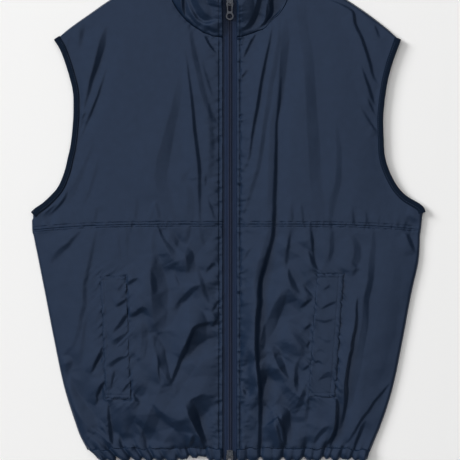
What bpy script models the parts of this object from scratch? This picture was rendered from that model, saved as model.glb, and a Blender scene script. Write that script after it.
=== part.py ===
"""A fleece-lined nylon vest, zipped shut and laid flat on its back. Metres, +Z up.

X runs across the vest, Y from the hem to the collar and Z out of its front. "out" is the distance from
the zip's centre line, "up" the distance from the hem's lower edge, and side is -1 on the left and +1 on
the right.
"""

import math
from collections import namedtuple

import bmesh
import bpy
from mathutils import Vector

# Cloth thicknesses and the gap left at every seam
SEAM_GAP = 0.0003
WALL = 0.003
BOUND_WALL = 0.0017
FOLDED_EDGE_WALL = 0.002
WELT_WALL = 0.0016
BINDING_WALL = 0.001

# Heights up the vest
HEM_HEIGHT = 0.021
YOKE_SEAM = 0.358
YOKE_SEAM_SAG = 0.009
YOKE_SEAM_SAG_HEIGHT = 0.012
CHEST_HALF = 0.295
PIT = 0.3765
SHOULDER_TIP = 0.6345
NECK_POINT = 0.7425
COLLAR_TOP = 0.808

# Neck and collar
NECK_HALF = 0.098
NECK_DROP = 0.105
BACK_NECK_DROP = 0.012
COLLAR_TOP_HALF = 0.086
COLLAR_TOP_DROP = 0.100
COLLAR_BACK_DIP = 0.007
COLLAR_PUFF = 0.0065
COLLAR_FOLD_RADIUS = 0.0035

# Heights of the front's outer face above the surface
EDGE_TOP = WALL + SEAM_GAP + WALL
LOFT = 0.015
ZIP_TOP = 0.010
HEM_TOP = 0.0092
YOKE_DIP = 0.0015
YOKE_DIP_WIDTH = 0.008

# How far from an edge the front takes to rise to its full height, or to its full thickness
EDGE_REACH = 0.030
NECK_REACH = 0.020
HEM_REACH = 0.020
ZIP_REACH = 0.020
BINDING_REACH = 0.022
FOLDED_EDGE_FADE = 0.008
BOUND_FADE = 0.010

# Armhole binding, a folded strip round the raw edge: front strand over back strand
BINDING_WIDTH = 0.0085
BINDING_NOSE = 0.0006
BINDING_INSET = BINDING_WALL + SEAM_GAP
BINDING_ZONE = BINDING_WIDTH + 0.001
RAW_EDGE_INSET = BINDING_WALL + 0.0012
TIP_TUCK = 0.004
STRAND_HEIGHT = 2 * BINDING_INSET + BOUND_WALL
STRAND_FLOOR = STRAND_HEIGHT + SEAM_GAP
BINDING_TOP = STRAND_FLOOR + STRAND_HEIGHT
BOUND_TOP = BINDING_TOP - BINDING_INSET

# Zip: folded front edges over two tapes, with the coil on top of the tapes
ZIP_HALF = 0.0103
PLACKET = 0.0158
TAPE_HALF = 0.0150
TAPE_WALL = 0.001
TAPE_TOP = ZIP_TOP - FOLDED_EDGE_WALL - SEAM_GAP
TAPE_BOTTOM = TAPE_TOP - TAPE_WALL
TAPE_LOW = 0.0025
TAPE_OVER_SLIDER = 0.0125
TAPE_AT_POST = 0.0020
TAPE_AT_MOUTH = 0.0022
TAPE_OPEN = 0.0033
CHAIN_HALF = 0.0028
CHAIN_WALL = 0.0016
CHAIN_TOP = TAPE_TOP + SEAM_GAP + CHAIN_WALL

# Sliders and their pull tabs
SLIDER_UP = {"top": 0.692, "bottom": 0.013}
SLIDER_LENGTH = 0.012
SLIDER_SHOULDER = 0.0096
SLIDER_REAR = 0.0084
SLIDER_NOSE = 0.0064
SLIDER_PLATE = 0.0011
SLIDER_FLOOR = 0.001
SLIDER_CHANNEL = 0.0066
POST_WIDTH = 0.0024
POST_LENGTH = 0.003
POST_FROM_CENTRE = 0.0032
CROWN_WIDTH = 0.0026
CROWN_LENGTH = 0.0092
CROWN_STRAP = 0.0009
CROWN_OPENING = 0.0025
CROWN_ROUND = 0.0018
CROWN_INNER_ROUND = 0.0011
CROWN_ROOT = 0.0007
FLANGE_LIFT = 0.0004
PLATE_TOP = CHAIN_TOP + SEAM_GAP + SLIDER_PLATE
PIVOT_FROM_CENTRE = 0.002
PIVOT_RISE = 0.0012
PIVOT_Z = PLATE_TOP + PIVOT_RISE
PULL_WALL = 0.0015
PULL_EDGE = 0.0002
PULL_LENGTH = 0.026
PULL_RING = 0.006
PULL_EYE = 0.0037
PULL_TOP_HALF = 0.0053
PULL_WAIST_HALF = 0.0043
PULL_SLOT_HALF = 0.0024
PULL_SLOT_END = 0.0125
PULL_BAR = 0.0008
PULL_CORNER = 0.0008
PULL_SLOT_ROUND = 0.0012
PULL_TAPER_START = 0.0030
PULL_TAPER_END = 0.0090
PULL_NECK = 0.0050
PULL_REST_TILT = math.radians(3)

# Grid sizes of the walls
YOKE_COLUMNS = 14
LOWER_COLUMNS = 36
WELT_FIRST_COLUMN = 19
WELT_LAST_COLUMN = 25
WELT_ROWS = 6
BACK_COLUMNS = 6
EDGE_STRIP = 0.009
UNDER_PIT_STEPS = (0.0125, 0.0093, 0.0050)
PIT_CURVE_TOP = 0.4125
HEM_ROWS = (HEM_HEIGHT, 0.029, 0.041, 0.062)
UNDER_YOKE_ROWS = (0.306, 0.330, 0.348)
LOWER_BACK_ROWS = (HEM_HEIGHT, 0.045, 0.090, 0.150, 0.220, 0.290)
SHOULDER_TIP_STEPS = (0.004, 0.008)
HEM_BACK_COLUMNS = 24
COLLAR_ROWS = 5
NECK_STEPS = 8

# The outline of the vest, from its lower edge to the neck point
Edge = namedtuple("Edge", "up left right")
SIDE_SEAM = (
    Edge(0.000, 0.1940, 0.2060),
    Edge(0.012, 0.2030, 0.2080),
    Edge(0.021, 0.2130, 0.2120),
    Edge(0.034, 0.2220, 0.2180),
    Edge(0.064, 0.2335, 0.2300),
    Edge(0.112, 0.2485, 0.2450),
    Edge(0.184, 0.2640, 0.2600),
    Edge(0.256, 0.2780, 0.2735),
    Edge(0.304, 0.2875, 0.2840),
    Edge(0.352, 0.2965, 0.2870),
    Edge(PIT, 0.2980, 0.2905),
)
ARMHOLE = (
    Edge(PIT, 0.2985, 0.2940),
    Edge(0.3825, 0.2920, 0.2920),
    Edge(0.3885, 0.2830, 0.2860),
    Edge(0.4005, 0.2695, 0.2660),
    Edge(0.4125, 0.2590, 0.2540),
    Edge(0.4365, 0.2485, 0.2405),
    Edge(0.4605, 0.2425, 0.2330),
    Edge(0.4845, 0.2380, 0.2315),
    Edge(0.5205, 0.2350, 0.2305),
    Edge(0.5565, 0.2355, 0.2345),
    Edge(0.5925, 0.2445, 0.2420),
    Edge(0.6225, 0.2560, 0.2525),
    Edge(SHOULDER_TIP, 0.2635, 0.2570),
)
SHOULDER = (
    Edge(SHOULDER_TIP, 0.2635, 0.2570),
    Edge(0.6525, 0.2410, 0.2360),
    Edge(0.6765, 0.2070, 0.2045),
    Edge(0.6945, 0.1810, 0.1775),
    Edge(NECK_POINT, 0.1000, 0.1000),
)

# Pocket welts: heights of their ends, and how far out their two long edges are at each end
Welt = namedtuple("Welt", "low high inner_low inner_high outer_low outer_high")
WELTS = {
    -1: Welt(0.0960, 0.2805, 0.1480, 0.1555, 0.1870, 0.1945),
    1: Welt(0.0985, 0.2845, 0.1175, 0.1310, 0.1580, 0.1715),
}

# Gathers of the elastic hem: how far out each trough lies, and how high the cloth rises beside it
Gather = namedtuple("Gather", "left right rise")
GATHERS = (
    Gather(0.0300, 0.0300, 0.0035),
    Gather(0.0460, 0.0470, 0.0045),
    Gather(0.0620, 0.0660, 0.0040),
    Gather(0.0820, 0.0850, 0.0050),
    Gather(0.1045, 0.1030, 0.0040),
    Gather(0.1225, 0.1220, 0.0045),
    Gather(0.1455, 0.1470, 0.0050),
    Gather(0.1795, 0.1780, 0.0045),
)
GATHER_FADE = 0.032
GATHER_SPREAD = 0.072

# The hem casing's rounded section
CASING_LOW = 0.003
CASING_ROUND = 0.003
CASING_CROWN = 0.0006

# The largest folds, as troughs through three points (x from the zip, up), on the fronts and the collar
Fold = namedtuple("Fold", "name start middle end half_width depth")
FOLDS = (
    Fold("left shoulder to armhole", (-0.186, 0.654), (-0.205, 0.582), (-0.222, 0.527), 0.008, 0.0045),
    Fold("left neck to zip", (-0.064, 0.650), (-0.049, 0.575), (-0.021, 0.512), 0.008, 0.0025),
    Fold("left chest, long", (-0.067, 0.612), (-0.052, 0.500), (-0.046, 0.363), 0.008, 0.0040),
    Fold("left chest, broad", (-0.076, 0.552), (-0.099, 0.440), (-0.088, 0.362), 0.014, 0.0030),
    Fold("right collar to zip", (0.063, 0.653), (0.042, 0.545), (0.020, 0.443), 0.008, 0.0050),
    Fold("right neck to yoke seam", (0.075, 0.650), (0.054, 0.530), (0.020, 0.372), 0.009, 0.0030),
    Fold("right chest, long", (0.080, 0.605), (0.069, 0.485), (0.066, 0.362), 0.008, 0.0050),
    Fold("right chest, broad", (0.104, 0.687), (0.122, 0.545), (0.132, 0.365), 0.014, 0.0025),
    Fold("right shoulder to armhole", (0.183, 0.677), (0.201, 0.623), (0.221, 0.569), 0.008, 0.0040),
    Fold("left wedge under the yoke", (-0.108, 0.351), (-0.093, 0.324), (-0.072, 0.306), 0.009, 0.0035),
    Fold("left belly, to the zip", (-0.019, 0.210), (-0.057, 0.188), (-0.085, 0.117), 0.009, 0.0060),
    Fold("left crescent at the hem", (-0.064, 0.089), (-0.048, 0.065), (-0.036, 0.024), 0.009, 0.0060),
    Fold("left side, under the armhole", (-0.223, 0.348), (-0.243, 0.324), (-0.267, 0.300), 0.009, 0.0025),
    Fold("left belly, broad", (-0.114, 0.342), (-0.109, 0.260), (-0.102, 0.203), 0.018, 0.0030),
    Fold("left side, long", (-0.201, 0.342), (-0.216, 0.260), (-0.232, 0.173), 0.009, 0.0030),
    Fold("right belly, upper", (0.066, 0.360), (0.045, 0.260), (0.044, 0.140), 0.009, 0.0080),
    Fold("right belly, lower", (0.044, 0.146), (0.047, 0.080), (0.045, 0.026), 0.009, 0.0070),
    Fold("right side, long", (0.215, 0.350), (0.203, 0.215), (0.180, 0.084), 0.009, 0.0040),
    Fold("right beside the welt", (0.189, 0.245), (0.180, 0.155), (0.168, 0.054), 0.008, 0.0045),
    Fold("right side to hem", (0.248, 0.128), (0.210, 0.083), (0.171, 0.023), 0.008, 0.0045),
    Fold("right belly, wedge", (0.056, 0.171), (0.071, 0.164), (0.086, 0.129), 0.008, 0.0045),
    Fold("right welt to hem", (0.159, 0.092), (0.159, 0.057), (0.146, 0.020), 0.008, 0.0050),
    Fold("right belly, band", (0.081, 0.257), (0.068, 0.222), (0.051, 0.179), 0.010, 0.0040),
    Fold("right crescent at the hem", (0.083, 0.083), (0.092, 0.069), (0.089, 0.032), 0.009, 0.0055),
    Fold("left collar, side", (-0.069, 0.725), (-0.069, 0.695), (-0.067, 0.672), 0.007, 0.0040),
    Fold("left collar, to the zip", (-0.060, 0.687), (-0.040, 0.665), (-0.016, 0.663), 0.007, 0.0030),
    Fold("right collar, side", (0.063, 0.725), (0.062, 0.680), (0.053, 0.654), 0.007, 0.0045),
    Fold("right collar, to the zip", (0.043, 0.689), (0.036, 0.665), (0.017, 0.650), 0.007, 0.0030),
)
FOLD_SEGMENTS = 8

# Colours and roughness of the materials
Finish = namedtuple("Finish", "colour roughness metallic")
FINISHES = {
    "navy_nylon": Finish((0.025, 0.038, 0.069), 0.55, 0.0),
    "navy_knit_binding": Finish((0.008, 0.014, 0.027), 0.85, 0.0),
    "navy_zip_tape": Finish((0.020, 0.027, 0.050), 0.80, 0.0),
    "navy_zip_coil": Finish((0.018, 0.024, 0.044), 0.45, 0.0),
    "gunmetal": Finish((0.200, 0.210, 0.230), 0.30, 1.0),
}


def rise(distance, reach):
    """0 at the start of a slope, and near 1 two or three reaches on."""
    return 1.0 - math.exp(-max(distance, 0.0) / reach)


def bell(distance, width):
    """1 at a line, and near 0 two widths away from it."""
    return math.exp(-((distance / width) ** 2))


def smooth_step(share):
    share = min(max(share, 0.0), 1.0)
    return share * share * (3.0 - 2.0 * share)


def blend(first, second, share):
    return first + (second - first) * share


def even_steps(start, end, count):
    return [blend(start, end, step / count) for step in range(count + 1)]


# Outline of the vest


def edge_at(rows, side, up):
    """How far out an edge is at a height, on a smooth curve through its rows."""
    outs = [row.left if side < 0 else row.right for row in rows]
    ups = [row.up for row in rows]
    up = min(max(up, ups[0]), ups[-1])
    slopes = [(outs[i + 1] - outs[i]) / (ups[i + 1] - ups[i]) for i in range(len(rows) - 1)]
    tangents = [slopes[0]] + [(a + b) / 2 for a, b in zip(slopes, slopes[1:])] + [slopes[-1]]
    i = max(k for k in range(len(rows) - 1) if k == 0 or ups[k] <= up)
    span = ups[i + 1] - ups[i]
    t = (up - ups[i]) / span
    start = (1 + 2 * t) * (1 - t) ** 2 * outs[i] + t * (1 - t) ** 2 * span * tangents[i]
    end = t * t * (3 - 2 * t) * outs[i + 1] - t * t * (1 - t) * span * tangents[i + 1]
    return start + end


def edge_line(rows, side, count=30):
    return [(edge_at(rows, side, up), up) for up in even_steps(rows[0].up, rows[-1].up, count)]


def nearest_on(line, out, up):
    """The distance from a point to a line of points, and how far along the line that is, from 0 to 1."""
    best = (1.0, 0.0)
    for i, ((x0, y0), (x1, y1)) in enumerate(zip(line, line[1:])):
        dx, dy = x1 - x0, y1 - y0
        share = ((out - x0) * dx + (up - y0) * dy) / (dx * dx + dy * dy)
        share = min(max(share, 0.0), 1.0)
        distance = math.hypot(x0 + share * dx - out, y0 + share * dy - up)
        best = min(best, (distance, (i + share) / (len(line) - 1)))
    return best


SIDE_LINES = {side: edge_line(SIDE_SEAM, side) for side in (-1, 1)}
ARMHOLE_LINES = {side: edge_line(ARMHOLE, side, 60) for side in (-1, 1)}
SHOULDER_LINES = {side: edge_line(SHOULDER, side) for side in (-1, 1)}


def armhole_slant(side, up):
    """How much longer a step across the armhole's edge is along a row than square to the edge."""
    step = 0.002
    high = min(max(up, PIT) + step, SHOULDER_TIP)
    low = max(min(up, SHOULDER_TIP) - step, PIT)
    slope = (edge_at(ARMHOLE, side, high) - edge_at(ARMHOLE, side, low)) / (high - low)
    return math.sqrt(1.0 + slope * slope)


def panel_edge(side, up):
    """The outer edge of a front or back panel: side seam, then inside the armhole binding, then shoulder."""
    if up > SHOULDER_TIP:
        tuck = TIP_TUCK * (1.0 - smooth_step((up - SHOULDER_TIP) / (2 * BINDING_WIDTH)))
        return edge_at(SHOULDER, side, up) - tuck
    seam = edge_at(SIDE_SEAM, side, up)
    if up < PIT - BINDING_ZONE:
        return seam
    return min(seam, edge_at(ARMHOLE, side, up) - RAW_EDGE_INSET * armhole_slant(side, up))


def bound_strip(side, up):
    """The width, along a row, of the strip beside a panel's edge that the binding holds flat."""
    edge = panel_edge(side, up)
    near, far = 0.0, 0.040
    if armhole_distance(side, edge, up) >= BINDING_ZONE:
        return EDGE_STRIP
    for _ in range(16):
        middle = (near + far) / 2
        if armhole_distance(side, edge - middle, up) < BINDING_ZONE:
            near = middle
        else:
            far = middle
    return far


def neck_out(up):
    """How far out the front neck seam is at a height: a quarter of an ellipse."""
    share = min(max((NECK_POINT - up) / NECK_DROP, 0.0), 1.0)
    return NECK_HALF * math.sqrt(1.0 - share * share)


FIRST_NECK_ANGLE = math.asin(ZIP_HALF / NECK_HALF)
NECK_ANGLES = even_steps(FIRST_NECK_ANGLE, math.pi / 2, NECK_STEPS)
NECK_ROWS = [NECK_POINT - NECK_DROP * math.cos(angle) for angle in NECK_ANGLES]
NECK_LINE = [(NECK_HALF * math.sin(angle), up) for angle, up in zip(NECK_ANGLES, NECK_ROWS)]
FRONT_NECK = NECK_ROWS[0]


# Height of the front


def fold_line(fold):
    """A curve through a fold's three points."""
    (x0, y0), (x1, y1), (x2, y2) = fold.start, fold.middle, fold.end
    bend_x = 2 * x1 - (x0 + x2) / 2
    bend_y = 2 * y1 - (y0 + y2) / 2
    line = []
    for t in even_steps(0.0, 1.0, FOLD_SEGMENTS):
        near, far, bend = (1 - t) ** 2, t * t, 2 * t * (1 - t)
        line.append((near * x0 + bend * bend_x + far * x2, near * y0 + bend * bend_y + far * y2))
    return line


FOLD_LINES = [(fold, fold_line(fold)) for fold in FOLDS]


def fold_depth(x, up):
    """How far the folds take the cloth down at a point."""
    depth = 0.0
    for fold, line in FOLD_LINES:
        distance, along = nearest_on(line, x, up)
        if distance < 3 * fold.half_width:
            taper = math.sin(math.pi * min(max(along, 0.03), 0.97)) ** 0.4
            depth = max(depth, fold.depth * taper * bell(distance, fold.half_width))
    return depth


def armhole_distance(side, out, up):
    return nearest_on(ARMHOLE_LINES[side], out, up)[0]


def front_height(side, out, up):
    """The height of the front's outer face: lofted inside, low along its edges, flat at zip and bindings."""
    from_edge = min(nearest_on(SIDE_LINES[side], out, up)[0], nearest_on(SHOULDER_LINES[side], out, up)[0])
    top = blend(EDGE_TOP, LOFT, rise(from_edge, EDGE_REACH)) - fold_depth(side * out, up)
    top -= YOKE_DIP * bell(up - YOKE_SEAM, YOKE_DIP_WIDTH)
    neck_top = blend(EDGE_TOP, ZIP_TOP, min(max((NECK_POINT - up) / NECK_DROP, 0.0), 1.0))
    top = blend(neck_top, top, rise(nearest_on(NECK_LINE, out, up)[0], NECK_REACH))
    top = blend(min(HEM_TOP, top), top, rise(up - HEM_HEIGHT, HEM_REACH))
    top = blend(ZIP_TOP, max(top, EDGE_TOP), rise(out - PLACKET, ZIP_REACH))
    beside_binding = armhole_distance(side, out, up) - BINDING_ZONE
    return blend(BOUND_TOP, top, rise(beside_binding, BINDING_REACH))


def front_wall(side, out, up):
    """The thickness of the front: thinner at the folded zip edge and inside the binding."""
    at_zip = blend(FOLDED_EDGE_WALL, WALL, smooth_step((out - PLACKET) / FOLDED_EDGE_FADE))
    beside_binding = armhole_distance(side, out, up) - BINDING_ZONE
    at_binding = blend(BOUND_WALL, WALL, smooth_step(beside_binding / BOUND_FADE))
    return min(at_zip, at_binding)


def seam_sag(out, up):
    """The yoke seam runs a little lower towards the side seams."""
    return YOKE_SEAM_SAG * (out / CHEST_HALF) ** 4 * bell(up - YOKE_SEAM, YOKE_SEAM_SAG_HEIGHT)


# Making objects


def new_material(name):
    finish = FINISHES[name]
    material = bpy.data.materials.new(name)
    material.use_nodes = True
    shader = material.node_tree.nodes["Principled BSDF"]
    shader.inputs["Base Color"].default_value = (*finish.colour, 1.0)
    shader.inputs["Roughness"].default_value = finish.roughness
    shader.inputs["Metallic"].default_value = finish.metallic
    return material


def add_object(name, data, material, collection, parent):
    data.materials.append(material)
    piece = bpy.data.objects.new(name, data)
    piece.parent = parent
    collection.objects.link(piece)
    return piece


def mesh_from(bm, name):
    bmesh.ops.recalc_face_normals(bm, faces=bm.faces[:])
    mesh = bpy.data.meshes.new(name)
    bm.to_mesh(mesh)
    bm.free()
    return mesh


def wall_mesh(name, outer, inner):
    """A closed wall between two grids of points, each a list of rows: a grid that is extruded."""
    rows, columns = len(outer) - 1, len(outer[0]) - 1
    bm = bmesh.new()
    row_of = bm.verts.layers.int.new("row")
    column_of = bm.verts.layers.int.new("column")
    bmesh.ops.create_grid(bm, x_segments=columns, y_segments=rows, size=0.5)
    for vert in bm.verts:
        vert[row_of] = round((vert.co.y + 0.5) * rows)
        vert[column_of] = round((vert.co.x + 0.5) * columns)
    extruded = bmesh.ops.extrude_face_region(bm, geom=bm.faces[:])
    raised = {item for item in extruded["geom"] if isinstance(item, bmesh.types.BMVert)}
    for vert in bm.verts:
        grid = outer if vert in raised else inner
        vert.co = grid[vert[row_of]][vert[column_of]]
    return mesh_from(bm, name)


def loft_mesh(name, rings):
    """A closed solid through rings of points, with its first and last ring filled."""
    bm = bmesh.new()
    made = [[bm.verts.new(point) for point in ring] for ring in rings]
    count = len(rings[0])
    for near, far in zip(made, made[1:]):
        for i in range(count):
            bm.faces.new((near[i], near[(i + 1) % count], far[(i + 1) % count], far[i]))
    bm.faces.new(made[0])
    bm.faces.new(made[-1])
    return mesh_from(bm, name)


def box_mesh(name, low, high):
    bm = bmesh.new()
    bmesh.ops.create_cube(bm, size=1.0)
    bmesh.ops.scale(bm, vec=[b - a for a, b in zip(low, high)], verts=bm.verts[:])
    bmesh.ops.translate(bm, vec=[(a + b) / 2 for a, b in zip(low, high)], verts=bm.verts[:])
    return mesh_from(bm, name)


def plate_curve(name, outlines, thickness, rounding=0.0):
    """A flat plate: the first outline, with the others as holes in it."""
    curve = bpy.data.curves.new(name, "CURVE")
    curve.dimensions = "2D"
    curve.fill_mode = "BOTH"
    curve.extrude = thickness / 2 - rounding
    curve.bevel_depth = rounding
    curve.bevel_resolution = 0
    curve.offset = -rounding
    for outline in outlines:
        spline = curve.splines.new("POLY")
        spline.points.add(len(outline) - 1)
        for point, (x, y) in zip(spline.points, outline):
            point.co = (x, y, 0.0, 1.0)
        spline.use_cyclic_u = True
    return curve


def arc(x, y, radius, start, end, steps):
    """Points on a circle from one angle to another, in degrees."""
    angles = [math.radians(angle) for angle in even_steps(start, end, steps)]
    return [(x + radius * math.cos(angle), y + radius * math.sin(angle)) for angle in angles]


# Fronts, back and welts


def yoke_rows():
    return (
        [YOKE_SEAM + SEAM_GAP / 2]
        + [PIT - step for step in UNDER_PIT_STEPS]
        + even_steps(PIT, PIT_CURVE_TOP, 4)
        + even_steps(PIT_CURVE_TOP, SHOULDER_TIP, 8)[1:]
        + NECK_ROWS
    )


def yoke_out(side, column, up):
    """How far out a column of the yoke is: placket, chest, then the strip that the binding holds."""
    inner = ZIP_HALF if up <= FRONT_NECK else neck_out(up) + SEAM_GAP / 2
    outer = panel_edge(side, up)
    first = inner + min(PLACKET - ZIP_HALF, 0.12 * (outer - inner))
    last = outer - min(bound_strip(side, up), 0.25 * (outer - inner))
    if column == 0:
        return inner
    if column == YOKE_COLUMNS:
        return outer
    return blend(first, last, (column - 1) / (YOKE_COLUMNS - 2))


def yoke_grids(side):
    outer, inner = [], []
    for up in yoke_rows():
        outs = [yoke_out(side, column, up) for column in range(YOKE_COLUMNS + 1)]
        if up > FRONT_NECK - SEAM_GAP:
            up -= SEAM_GAP / 2
        tops = [front_height(side, out, up) for out in outs]
        walls = [front_wall(side, out, up) for out in outs]
        ups = [up - seam_sag(out, up) for out in outs]
        outer.append([Vector((side * out, y, z)) for out, y, z in zip(outs, ups, tops)])
        inner.append([Vector((side * out, y, z - wall)) for out, y, z, wall in zip(outs, ups, tops, walls)])
    return outer, inner


def lower_rows(side):
    welt = WELTS[side]
    seam = (YOKE_SEAM - SEAM_GAP / 2,)
    return HEM_ROWS + tuple(even_steps(welt.low, welt.high, WELT_ROWS)) + UNDER_YOKE_ROWS + seam


def hem_stops(side):
    """The hem's troughs, with the zip edge before them and the side seam after."""
    troughs = [gather.left if side < 0 else gather.right for gather in GATHERS]
    return [ZIP_HALF] + troughs + [edge_at(SIDE_SEAM, side, HEM_HEIGHT)]


def hem_out(side, column):
    """Four columns to a gather: a trough, a slope, a crest and a slope."""
    stops = hem_stops(side)
    gather = min(column // 4, len(stops) - 2)
    return blend(stops[gather], stops[gather + 1], column / 4 - gather)


def body_out(side, column, up):
    """How far out a column of the lower front is above the gathers: its bands end at the welt's edges."""
    welt = WELTS[side]
    along = min(max((up - welt.low) / (welt.high - welt.low), -0.2), 1.3)
    stops = (
        (0, ZIP_HALF),
        (1, PLACKET),
        (WELT_FIRST_COLUMN, blend(welt.inner_low, welt.inner_high, along)),
        (WELT_LAST_COLUMN, blend(welt.outer_low, welt.outer_high, along)),
        (LOWER_COLUMNS - 1, panel_edge(side, up) - EDGE_STRIP),
        (LOWER_COLUMNS, panel_edge(side, up)),
    )
    for (first, near), (last, far) in zip(stops, stops[1:]):
        if column <= last:
            return blend(near, far, (column - first) / (last - first))


def lower_out(side, column, up):
    hem_share = (hem_out(side, column) - ZIP_HALF) / (hem_out(side, LOWER_COLUMNS) - ZIP_HALF)
    at_hem = ZIP_HALF + hem_share * (panel_edge(side, up) - ZIP_HALF)
    return blend(at_hem, body_out(side, column, up), smooth_step((up - HEM_HEIGHT) / GATHER_SPREAD))


def gather_wave(column):
    """-0.4 in a trough of the hem, 0.6 on a crest, and flat beside the zip and the side seam."""
    if column < 2 or column > LOWER_COLUMNS - 2:
        return 0.0
    return (0.0, 0.5, 1.0, 0.5)[column % 4] - 0.4


def gather_rise(column):
    return GATHERS[min(column // 4, len(GATHERS) - 1)].rise


def lower_grids(side):
    outer, inner = [], []
    for up in lower_rows(side):
        outer_row, inner_row = [], []
        for column in range(LOWER_COLUMNS + 1):
            out = lower_out(side, column, up)
            fade = math.exp(-(up - HEM_HEIGHT) / GATHER_FADE)
            lifted = front_height(side, out, up) + gather_rise(column) * gather_wave(column) * fade
            top = max(lifted, EDGE_TOP)
            y = up - seam_sag(out, up)
            outer_row.append(Vector((side * out, y, top)))
            inner_row.append(Vector((side * out, y, top - front_wall(side, out, up))))
        outer.append(outer_row)
        inner.append(inner_row)
    return outer, inner


def welt_grids(side, lower_outer):
    """The welt lies on the lower front: that panel's own points, moved out."""
    first = lower_rows(side).index(WELTS[side].low)
    last = first + WELT_ROWS
    rows = [row[WELT_FIRST_COLUMN : WELT_LAST_COLUMN + 1] for row in lower_outer[first : last + 1]]
    under = [[point + Vector((0, 0, SEAM_GAP)) for point in row] for row in rows]
    over = [[point + Vector((0, 0, WELT_WALL)) for point in row] for row in under]
    return over, under


def back_rows():
    first, second = (SHOULDER_TIP + step for step in SHOULDER_TIP_STEPS)
    shoulder = [first] + even_steps(second, NECK_POINT - SEAM_GAP, 5)
    return list(LOWER_BACK_ROWS) + yoke_rows()[: -NECK_STEPS - 1] + shoulder


def back_xs(up):
    """Columns of the back, with two at the inner edge of each binding, where the panel comes down."""
    left, right = -panel_edge(-1, up), panel_edge(1, up)
    left_bound, right_bound = left + bound_strip(-1, up), right - bound_strip(1, up)
    middle = even_steps(left_bound + EDGE_STRIP, right_bound - EDGE_STRIP, BACK_COLUMNS)
    return [left, left_bound] + middle + [right_bound, right]


def back_grids():
    upper, under = [], []
    for up in back_rows():
        upper_row, under_row = [], []
        for x in back_xs(up):
            side = -1 if x < 0 else 1
            dip = BACK_NECK_DROP * max(1.0 - (x / NECK_HALF) ** 2, 0.0) * smooth_step((up - 0.66) / 0.08)
            bound = armhole_distance(side, abs(x), up) < BINDING_ZONE + 0.0006
            upper_row.append(Vector((x, up - dip, WALL)))
            under_row.append(Vector((x, up - dip, BINDING_INSET if bound else 0.0)))
        upper.append(upper_row)
        under.append(under_row)
    return upper, under


# Collar


def collar_front_ring(side, angle):
    """One section of the collar's front, from the neck seam to its top edge."""
    seam_out = max((NECK_HALF - SEAM_GAP / 2) * math.sin(angle), ZIP_HALF)
    seam_up = NECK_POINT - (NECK_DROP - SEAM_GAP / 2) * math.cos(angle)
    top_out = max(COLLAR_TOP_HALF * math.sin(angle), ZIP_HALF)
    top_up = COLLAR_TOP - COLLAR_TOP_DROP * math.cos(angle)
    share = (angle - FIRST_NECK_ANGLE) / (math.pi / 2 - FIRST_NECK_ANGLE)
    puffed = blend(ZIP_TOP, 2 * COLLAR_FOLD_RADIUS, share) + COLLAR_PUFF * math.sin(math.pi * share)
    seam_top = front_height(side, seam_out, seam_up)
    outer, inner = [], []
    for along in even_steps(0.0, 1.0, COLLAR_ROWS):
        out = blend(seam_out, top_out, along)
        up = blend(seam_up, top_up, along)
        top = blend(seam_top, puffed, smooth_step(along / 0.4))
        top -= fold_depth(side * out, up) * smooth_step(along / 0.2) * math.sin(math.pi * share)
        outer.append(Vector((side * out, up, max(top, EDGE_TOP))))
        inner.append(Vector((side * out, up, max(top, EDGE_TOP) - front_wall(side, out, up))))
    return outer, inner


def collar_side_ring(side, turn):
    """One section of the fold at the collar's side, turned from its front to its back."""
    seam = Vector((NECK_HALF - SEAM_GAP / 2, NECK_POINT, COLLAR_FOLD_RADIUS))
    top = Vector((COLLAR_TOP_HALF, COLLAR_TOP, COLLAR_FOLD_RADIUS))
    run = (top - seam).normalized()
    outward = Vector((run.y, -run.x, 0.0)) * math.sin(turn)
    spoke = outward + Vector((0, 0, math.cos(turn)))
    mirror = Vector((side, 1, 1))
    outer, inner = [], []
    for along in even_steps(0.0, 1.0, COLLAR_ROWS):
        axis = seam.lerp(top, along)
        outer.append((axis + COLLAR_FOLD_RADIUS * spoke) * mirror)
        inner.append((axis + (COLLAR_FOLD_RADIUS - WALL) * spoke) * mirror)
    return outer, inner


def collar_back_ring(side, share):
    """One section of the collar's back, on the surface; share is 0 at its side and 1 in the middle."""
    curve = 1.0 - (1.0 - share) ** 2
    seam = Vector((side * NECK_HALF * (1 - share), NECK_POINT - BACK_NECK_DROP * curve, 0.0))
    top = Vector((side * COLLAR_TOP_HALF * (1 - share), COLLAR_TOP - COLLAR_BACK_DIP * curve, 0.0))
    outer = [seam.lerp(top, along) for along in even_steps(0.0, 1.0, COLLAR_ROWS)]
    return outer, [point + Vector((0, 0, WALL)) for point in outer]


def collar_grids():
    halves = {}
    for side in (-1, 1):
        front = [collar_front_ring(side, angle) for angle in NECK_ANGLES[:-1]]
        turned = [collar_side_ring(side, turn) for turn in even_steps(0.0, math.pi, 5)]
        back = [collar_back_ring(side, share) for share in even_steps(0.0, 1.0, 4)[1:]]
        halves[side] = front + turned + back
    rings = halves[-1] + halves[1][-2::-1]
    outer = [[ring[0][row] for ring in rings] for row in range(COLLAR_ROWS + 1)]
    inner = [[ring[1][row] for ring in rings] for row in range(COLLAR_ROWS + 1)]
    return outer, inner


# Armhole bindings


def binding_profile():
    """Section of the folded strip's front strand: distance in from the edge, and height."""
    floor, top, lip = STRAND_FLOOR, BINDING_TOP, BINDING_WALL
    return (
        (0.0, floor + lip),
        (0.0, top - lip),
        (BINDING_NOSE, top),
        (BINDING_WIDTH, top),
        (BINDING_WIDTH, top - lip),
        (lip, top - lip),
        (lip, floor + lip),
        (BINDING_WIDTH, floor + lip),
        (BINDING_WIDTH, floor),
        (BINDING_NOSE, floor),
    )


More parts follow.
